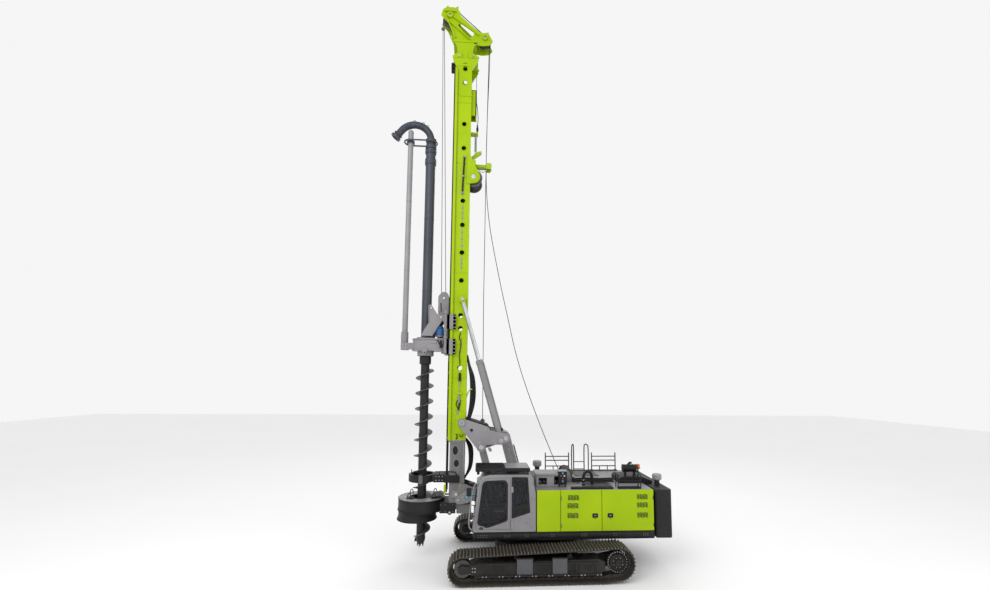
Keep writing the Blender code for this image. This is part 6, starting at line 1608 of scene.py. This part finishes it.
def mast_head():
    """The head: plates with ribs around the two rope wheels, on the bolted knuckle."""
    outline = [(-3.34, 18.62), (-3.30, 18.76), (-3.20, 18.83), (-3.155, 18.895), (-3.12, 18.895),
        (-3.06, 18.85), (-2.94, 18.86), (-2.86, 18.84), (-2.80, 18.895), (-2.75, 18.895), (-2.76, 18.80),
        (-2.72, 18.70), (-2.72, 18.60), (-2.62, 18.50), (-2.30, 18.20), (-1.98, 17.95), (-1.84, 17.93),
        (-1.74, 17.95), (-1.68, 17.97), (-1.66, 17.90), (-1.60, 17.78), (-1.52, 17.64), (-1.54, 17.57),
        (-1.66, 17.47), (-1.90, 17.44), (-2.14, 17.47), (-2.20, 17.57), (-2.88, 17.57), (-2.95, 17.90),
        (-3.03, 18.20), (-3.20, 18.36), (-3.36, 18.54)]
    slot = rounded([(-2.78, 18.20), (-2.66, 18.25), (-2.30, 18.02), (-2.17, 17.93), (-2.22, 17.80),
        (-2.36, 17.70)], 0.05)
    head = Build(LIME)
    for sign in (-1, 1):
        head.plate([outline, slot], sign * HEAD_PLATE_Y[0], sign * HEAD_PLATE_Y[1])
        ys = (sign * 0.249, sign * 0.325)
        for a, b in (((-3.22, 18.55), (-2.84, 17.66)), ((-3.10, 18.30), (-2.30, 17.60)),
                ((-2.92, 18.44), (-2.02, 17.80)), ((-3.25, 18.66), (-2.82, 18.66))):
            way = (Vector(b) - Vector(a)).normalized()
            side = Vector((-way.y, way.x)) * 0.012
            head.plate([tuple(Vector(a) + side), tuple(Vector(b) + side), tuple(Vector(b) - side),
                        tuple(Vector(a) - side)], *ys)
        head.plate([circle(*HEAD_SHEAVE, 0.105, 28), circle(*HEAD_SHEAVE, 0.055, 28)], *ys)
        head.plate([circle(*REAR_SHEAVE, 0.095, 28), circle(*REAR_SHEAVE, 0.055, 28)], *ys)
        head.use(STEEL)
        for x, z in (HEAD_SHEAVE, REAR_SHEAVE):
            head.bar((x, z), sign * 0.24, sign * 0.30, 0.050, 0.046, 24)
        head.bar((-2.15, 17.49), sign * 0.24, sign * 0.31, 0.042, sides=20)
        for x, z in ((-3.12, 18.77), (-2.96, 18.74), (-2.80, 18.76), (-1.70, 17.86), (-1.62, 17.62),
                (-2.02, 17.55)):
            head.bolt((x, sign * HEAD_PLATE_Y[1], z), (0, sign, 0), 0.013, 0.012)
        head.use(LIME)
        neck = [(-2.88, 17.50), (-2.10, 17.50), (-2.14, 17.42), (-2.21, 17.22), (-2.215, 16.99),
            (-2.03, 16.90), (-2.03, 16.855), (-2.88, 16.855), (-2.88, 16.92), (-2.76, 17.00), (-2.76, 17.22),
            (-2.82, 17.42)]
        head.plate(neck, sign * 0.28, sign * 0.31)
        head.plate(rounded([(-2.93, 16.93), (-2.76, 17.06), (-2.58, 17.06), (-2.58, 16.87), (-2.90, 16.87)],
            0.02), sign * 0.309, sign * 0.345)
        head.plate(rounded([(-2.36, 16.87), (-2.36, 17.06), (-2.20, 17.06), (-1.99, 16.93), (-1.99, 16.87)],
            0.02), sign * 0.309, sign * 0.345)
        head.use(STEEL)
        for x in (-2.69, -2.20):
            head.bar((x, 16.94), sign * 0.34, sign * 0.375, 0.034, sides=18)
        head.use(LIME)
    head.box((-2.77, -0.29, 16.855), (-2.74, 0.29, 17.50)).box((-2.24, -0.29, 16.855), (-2.21, 0.29, 17.50))
    head.box((-2.90, -0.33, 17.49), (-2.09, 0.33, 17.56))
    head.box((-2.755, -0.24, 18.56), (-2.69, 0.24, 18.72)).box((-2.14, -0.24, 17.70), (-2.06, 0.24, 18.06))
    for x, z in (HEAD_SHEAVE, REAR_SHEAVE):
        head.use(STEEL).bar((x, z), -0.235, 0.235, 0.045, sides=20)
    head.use(BLACK)
    for z in (16.55, 16.66, 16.78):
        head.box((-2.97, -0.10, z), (-2.86, 0.06, z + 0.07))
    head.done("mast_crown", "mast", "lime_paint", ("mast_head",), 0.003)
    for cad, name, (x, z), radius in (("head_sheave", "head_rope_wheel", HEAD_SHEAVE, 0.27),
                                      ("rear_sheave", "rear_rope_wheel", REAR_SHEAVE, 0.21)):
        wheel = Build(WORN)
        rim = radius - 0.045
        wheel.lathe([(radius, 0.045), (rim, 0.014), (rim, -0.014), (radius, -0.045), (rim - 0.03, -0.045),
            (rim - 0.04, -0.02), (0.10, -0.02), (0.095, -0.05), (0.054, -0.05), (0.054, 0.05), (0.095, 0.05),
            (0.10, 0.02), (rim - 0.04, 0.02), (rim - 0.03, 0.045)], (x, 0, z), ALONG_Y, 48)
        wheel.use(BLACK)
        for turn in around(6):
            wheel.pin(orbit((x, z), (rim + 0.06) / 2, turn), 0.022, 0.024, 14)
        wheel.done(name, cad, "machined_steel", (cad,), 0.002)


mast()
mast_foot()
mast_head()
ropes()
winch_drum("crowd_winch_drum", "crowd_drum", CROWD_DRUM, 0.22, 0.30, 0.28, "crowd_winch_drum")
winch_drum("main_winch_drum", "main_drum", MAIN_DRUM, 0.17, 0.20, 0.28, "main_winch_drum")
winch_drum("aux_winch_drum", "deck_winch_drum", AUX_DRUM, 0.15, 0.19, 0.26, "aux_winch_drum")


# ---------------------------------------------------------------- rotary head and drill string
def rotary_head():
    """The sled, gearbox, motors, torque bar and inlet elbow."""
    sled = Build(GREY)
    for z0, z1 in ((6.48, 6.98), (7.30, 7.78)):
        for sign in (-1, 1):
            ys = sorted((sign * 0.355, sign * 0.48))
            sled.use(GREY).plate([(-2.90, z0), (-2.62, z0), (-2.62, z1), (-2.90, z1)],
                ys[0] + (0.085 if sign > 0 else 0), ys[1] - (0.085 if sign < 0 else 0))
            sled.box((-2.705, ys[0], z0), (-2.62, ys[1], z1)).box((-2.90, ys[0], z0), (-2.82, ys[1], z1))
            sled.use(STEEL)
            for x in (-2.68, -2.64):
                sled.bolts([(x, sign * 0.48, z0 + 0.06 + 0.12 * k) for k in range(4)], (0, sign, 0), 0.010,
                    0.010)
            sled.use(DARK_GREY).box((-2.77, ys[0] + 0.01, z0 + 0.02), (-2.705, ys[1] - 0.01, z0 + 0.05))
    sled.use(GREY).box((-3.00, -0.46, 6.48), (-2.90, 0.46, 7.78))
    for y in (-0.30, 0.0, 0.30):
        sled.box((-2.93, y - 0.012, 6.60), (-2.868, y + 0.012, 7.70))
    sled.use(BLACK)
    for z in (6.62, 7.00, 7.34, 7.66):
        for y in (-0.38, 0.38):
            sled.bolt((-2.868, y, z), (1, 0, 0), 0.014, 0.012)
    cheek = [(-2.95, 7.34), (-3.04, 7.58), (-3.10, 7.55), (-3.41, 7.075), (-3.73, 7.075), (-3.66, 7.23),
        (-3.50, 7.50), (-3.515, 8.06), (-3.46, 8.11), (-3.38, 8.04), (-3.25, 7.81), (-3.16, 7.78),
        (-2.95, 7.77)]
    for sign in (-1, 1):
        ys = (sign * 0.40, sign * 0.44)
        sled.use(GREY).plate(cheek, *ys)
        edge = (sign * 0.375, sign * 0.46)
        sled.plate([(-3.50, 7.50), (-3.478, 7.50), (-3.49, 8.07), (-3.515, 8.06)], *edge)
        sled.plate([(-3.41, 7.075), (-3.385, 7.06), (-3.08, 7.55), (-3.10, 7.57)], *edge)
        sled.use(STEEL).bar((-3.10, 7.68), sign * 0.43, sign * 0.47, 0.035, sides=18)
        sled.bar((-3.42, 7.98), sign * 0.43, sign * 0.47, 0.030, sides=18)
        sled.use(GREY)
    sled.box((-3.20, -0.42, 7.60), (-2.95, 0.42, 7.76))
    block = rounded([(-3.23, 7.85), (-3.05, 7.74), (-2.88, 7.74), (-2.88, 8.48), (-2.97, 8.58), (-3.10, 8.58),
                     (-3.23, 8.44)], 0.05)
    for y0, y1 in ((-0.16, -0.12), (0.12, 0.16)):
        sled.use(GREY).plate(block, y0, y1)
    sled.box((-3.20, -0.13, 7.80), (-2.89, 0.13, 7.98))
    sled.use(WORN).lathe([(0.15, -0.05), (0.11, -0.015), (0.11, 0.015), (0.15, 0.05), (0.04, 0.05),
        (0.04, -0.05)], (-3.04, 0, 8.36), ALONG_Y, 32)
    sled.use(STEEL).bar(SLED_PULLEY, -0.19, 0.19, 0.042, sides=20)
    for sign in (-1, 1):
        sled.use(DARK_GREY).tube([(-3.12, sign * 0.165, 7.92), (-3.14, sign * 0.165, 8.20)], 0.020, 8)
    for sign in (-1, 1):
        sled.use(GREY).post((-2.95, sign * 0.475), 6.50, 7.92, 0.045, sides=20)
        for z in (6.56, 7.02, 7.28, 7.84):
            sled.post((-2.95, sign * 0.475), z - 0.03, z + 0.03, 0.062, sides=20)
    sled.use(WORN).box((-3.07, -0.45, 6.50), (-2.99, -0.40, 6.90))
    sled.done("sled_frame", "rotary_head", "grey_paint", ("crowd_sled",), 0.004)

    case = Build(GREY)
    shape = hull(circle(DRILL_X, 0, 0.42, 40) + [(-3.001, -0.40), (-3.001, 0.40)])
    bore = circle(DRILL_X, 0, 0.173, 32)
    case.slab([shape, bore], 6.62, 7.00)
    rim = hull(circle(DRILL_X, 0, 0.44, 40) + [(-3.001, -0.42), (-3.001, 0.42)])
    for z0, z1 in ((6.60, 6.645), (6.955, 7.00)):
        case.slab([rim, bore], z0, z1)
    case.slab([circle(DRILL_X, 0, 0.30, 40), bore], 7.00, 7.045)
    case.slab([circle(DRILL_X, 0, 0.27, 36), bore], 6.44, 6.61)
    case.use(DARK_GREY).slab([circle(DRILL_X, 0, 0.235, 36), bore], 6.425, 6.45)
    case.use(GREY).slab([[(-4.42, -0.11), (-3.95, -0.20), (-3.95, 0.20), (-4.42, 0.11)]], 6.66, 6.86)
    case.box((-4.42, -0.14, 6.63), (-4.20, 0.14, 6.877))
    case.plate([(-3.74, 6.66), (-3.50, 6.66), (-3.57, 6.50), (-3.61, 6.46), (-3.65, 6.50)], -0.46, -0.42)
    case.use(BLACK).bar((-3.61, 6.53), -0.463, -0.455, 0.022, sides=16)
    case.use(PALE_GREY).box((-3.44, -0.428, 6.84), (-3.24, -0.420, 6.91))
    case.use(STEEL)
    case.bolt_crown((DRILL_X, 0), 7.045, 0.265, around(12), 0.013, 0.014)
    for x in (-4.36, -4.26):
        case.bolts([(x, -0.14, 6.70), (x, -0.14, 6.81)], LEFT, 0.012, 0.010)
    for x in (-3.10, -3.05):
        case.bolts([(x, -0.42, 6.66 + 0.08 * k) for k in range(4)], LEFT, 0.010, 0.009)
    case.use(BLACK)
    hose(case, [(-3.20, -0.44, 6.95), (-3.12, -0.47, 6.80), (-3.04, -0.48, 6.72), (-3.00, -0.47, 6.90),
                (-2.96, -0.46, 7.05)], 0.016)
    case.post((-3.09, -0.45), 6.68, 6.92, 0.035, sides=14)
    case.done("gearbox_case", "rotary_head", "grey_paint", ("rotary_gearbox",), 0.005)

    motors = Build(BLUE)
    for y in (-0.24, 0.24):
        motors.turn([(0.145, 0.06), (0.145, 0.24), (0.12, 0.27), (0.12, 0.34), (0.07, 0.38)],
                     (-3.15, y, 7.05), UP, 28)
        motors.use(TAN).ring((-3.14, y, 7.08), UP, 0.121, 0.02, 0.025)
        motors.use(GREY).turn([(0.125, 0), (0.125, 0.06)], (-3.14, y, 7.05), UP, 28)
        motors.use(BLACK).box((-3.21, y - 0.05, 7.20), (-3.08, y + 0.05, 7.28))
        hose(motors, [(-3.14, y, 7.43), (-3.12, y * 0.9, 7.55), (-3.05, y * 0.7, 7.58),
            (-2.99, y * 0.6, 7.50)], 0.020)
        motors.use(BLUE)
    motors.box((-3.18, -0.28, 7.17), (-3.06, 0.28, 7.29))
    motors.done("drive_motors", "rotary_head", "blue_paint", ("rotary_motors",), 0.004)

    bar = Build(PALE_GREY)
    x = TORQUE_BAR_X
    bar.turn([(0.093, 0), (0.093, 7.37)], (x, 0, 6.88), UP, 32)
    bar.use(GREY)
    bar.turn([(0.120, 0), (0.120, 0.34), (0.094, 0.36)], (x, 0, 6.8805), UP, 32)
    for z in (9.30, 11.70):
        bar.ring((x, 0, z), UP, 0.097, 0.01, 0.02, 32)
    bar.turn([(0.06, 0), (0.06, 0.05), (0.02, 0.08)], (x, 0, 14.24), UP, 24)
    bar.use(STEEL)
    for turn in around(6):
        bar.bolt((*orbit((x, 0), 0.12, turn), 7.06), (*orbit((0, 0), 1, turn), 0), 0.010, 0.010)
    bar.done("torque_tube", "rotary_head", "grey_paint", ("torque_bar",), 0.002)

    elbow = Build(PIPE)
    centre, radius = (-4.19, 13.94), 0.57
    bend = [(DRILL_X, 0, 13.66), (DRILL_X, 0, 13.86)]
    for i in range(22):
        turn = radians(2 + 143 * i / 21)
        bend.append((centre[0] + radius * cos(turn), 0, centre[1] + radius * sin(turn)))
    way = (Vector(bend[-1]) - Vector(bend[-2])).normalized()
    last = Vector(bend[-1]) + way * 0.30
    elbow.tube([*bend, last], 0.120, 28)
    elbow.lathe([(0.172, -0.045), (0.172, 0.030), (0.100, 0.030), (0.100, -0.045)], last, way, 32)
    elbow.lathe([(0.150, 0), (0.150, 0.035), (0.118, 0.035), (0.118, 0)], last - way * 0.15, way, 32)
    elbow.lathe([(0.19, 0), (0.19, 0.10), (0.165, 0.12), (0.165, 0.24), (0.185, 0.26), (0.185, 0.34),
        (0.10, 0.36), (0.10, 0)], (DRILL_X, 0, 13.64), UP, 36)
    elbow.use(WORN)
    u, v = across(way)
    for turn in around(8):
        elbow.bolt(last + (u * cos(turn) + v * sin(turn)) * 0.147 - way * 0.045, -way, 0.011, 0.012)
    elbow.use(PIPE)
    for turn in (66, 92, 50):
        a, b = orbit(centre, 0.695, radians(turn))
        elbow.tube([(c, 0, d) for c, d in circle(a, b + 0.01, 0.035, 14)], 0.010, 8, True)
    loop = []
    for cx, start in ((DRILL_X, -90), (TORQUE_BAR_X, 90)):
        loop += [(*orbit((cx, 0), 0.21, radians(start + 18 * i)), 13.86) for i in range(11)]
    elbow.tube(loop, 0.026, 10, True)
    elbow.ring((x, 0, 13.82), UP, 0.135, 0.035, 0.08, 32)
    elbow.box((x - 0.015, -0.21, 13.84), (x + 0.015, -0.12, 13.88)).box((x - 0.015, 0.12, 13.84),
        (x + 0.015, 0.21, 13.88))
    elbow.done("inlet_elbow", "rotary_head", "charcoal_paint", ("gooseneck",), 0.002)


FLIGHT_ROOT = 0.134
FLIGHT_THICK = (0.016, 0.009)


def drill_string():
    """The pipe above the gearbox and the auger below it."""
    pipe = Build(PIPE)
    top = 13.628
    pipe.lathe([(0.165, 6.16), (0.165, top), (0.12, top), (0.12, 6.16)], DRILL_AXIS, UP, 40)
    for z0, z1 in ((13.45, top), (13.05, 13.27)):
        pipe.lathe([(0.166, z0), (0.192, z0 + 0.012), (0.192, z1 - 0.012), (0.166, z1), (0.15, z1),
            (0.15, z0)], DRILL_AXIS, UP, 40)
    pipe.use(AUGER).lathe([(0.166, 6.16), (0.190, 6.175), (0.190, 6.40), (0.166, 6.42), (0.15, 6.42),
        (0.15, 6.16)], DRILL_AXIS, UP, 40)
    pipe.use(WORN)
    for turn in around(8):
        for z in (13.16, 13.54):
            pipe.bolt((*orbit((DRILL_X, 0), 0.192, turn), z), (*orbit((0, 0), 1, turn), 0), 0.013, 0.012)
    for z in (8.6, 11.1):
        pipe.use(PIPE).ring((DRILL_X, 0, z), UP, 0.170, 0.008, 0.03, 40)
    pipe.done("drill_tube", "drill_string", "charcoal_paint", ("drill_pipe",), 0.002)

    stem = Build(AUGER)
    low, high, bit_top = 0.62, 6.1595, 0.70
    stem.lathe([(0.140, bit_top), (0.140, high), (0.05, high), (0.05, bit_top)], DRILL_AXIS, UP, 36)
    for z in (1.30, 3.80):
        stem.ring((DRILL_X, 0, z), UP, 0.152, 0.02, 0.12, 36)
    pitch, steps = 0.50, 28
    turns = (6.02 - low) / pitch
    phase = 2 * pi * 0.34

    def flight(z_start, count, outer_at):
        """A helix of some turns, upwards from z_start, whose outer radius depends on the turn."""
        points, faces = [], []
        for i in range(int(count * steps) + 1):
            turn = 2 * pi * i / steps
            z = z_start + pitch * i / steps
            outer = outer_at(i / steps)
            root, rim = FLIGHT_THICK
            for r, dz in ((FLIGHT_ROOT, -root), (outer, -rim), (outer, rim), (FLIGHT_ROOT, root)):
                points.append((DRILL_X + r * cos(turn + phase), r * sin(turn + phase), z + dz))
        for i in range(int(count * steps)):
            faces += [(4 * i + j, 4 * i + (j + 1) % 4, 4 * i + 4 + (j + 1) % 4, 4 * i + 4 + j)
                for j in range(4)]
        end = 4 * int(count * steps)
        faces += [(3, 2, 1, 0), (end, end + 1, end + 2, end + 3)]
        stem.add(points, faces)

    stem.use(FLIGHT)
    flight(low, turns, lambda t: min(0.296, 0.20 + 0.20 * t))
    stem.use(AUGER)
    stem.turn([(0.142, 0.70), (0.150, 0.66), (0.130, 0.56), (0.095, 0.50)],
               DRILL_AXIS, UP, 28)
    for turn in around(5, 0.4):
        tip = (*orbit((DRILL_X, 0), 0.105, turn + 0.35), 0.405)
        stem.rod((*orbit((DRILL_X, 0), 0.085, turn), 0.53), tip, 0.030, 0.008, 8)
    stem.post((DRILL_X, 0), 0.52, 0.405, 0.035, 0.008, 10)
    for i in range(4):
        turn = phase + 0.16 * i
        spot = Vector((DRILL_X + 0.20 * cos(turn), 0.20 * sin(turn), 0.60 + 0.01 * i))
        stem.rod(spot, spot + Vector((0.03 * cos(turn + 1.2), 0.03 * sin(turn + 1.2), -0.12)), 0.026, 0.008,
            8)
    stem.done("auger_stem", "drill_string", "worn_steel", ("auger",), 0.002)


rotary_head()
drill_string()


FLOOR_REACH = 60.0
SKY_STRENGTH = 0.92
LAMP_TARGET = Vector((0, 0, 5))
LAMPS = (("key", (-9, -14, 16), 12.0, 1400), ("fill", (13, -12, 9), 10.0, 380),
    ("back", (4, 14, 18), 12.0, 500))


def stage():
    """A plain pale floor, an even pale surround and three large soft lamps: name, place, size, watts."""
    floor_mesh = bpy.data.meshes.new("floor")
    reach = FLOOR_REACH
    floor_mesh.from_pydata([(-reach, -reach, 0), (reach, -reach, 0), (reach, reach, 0), (-reach, reach, 0)],
        [], [(0, 1, 2, 3)])
    floor = bpy.data.objects.new("floor", floor_mesh)
    bpy.context.scene.collection.objects.link(floor)
    pale = material("floor_white", (0.89, 0.89, 0.89), (0.90, 0.90, 0.90), (0.6, 0.7), cloud=0.2, grain=4.0,
        bump=0.005)
    floor_mesh.materials.append(pale)
    world = bpy.data.worlds.new("studio")
    bpy.context.scene.world = world
    world.use_nodes = True
    world.node_tree.nodes["Background"].inputs["Color"].default_value = (1.0, 1.0, 1.0, 1)
    world.node_tree.nodes["Background"].inputs["Strength"].default_value = SKY_STRENGTH
    for name, place, size, power in LAMPS:
        light = bpy.data.lights.new(name, "AREA")
        light.size = size
        light.energy = power
        lamp = bpy.data.objects.new(name, light)
        bpy.context.scene.collection.objects.link(lamp)
        lamp.location = place
        lamp.rotation_mode = "QUATERNION"
        lamp.rotation_quaternion = (LAMP_TARGET - Vector(place)).to_track_quat("-Z", "Y")
    bpy.context.scene.view_settings.view_transform = "Standard"
    bpy.context.scene.view_settings.look = "None"


stage()
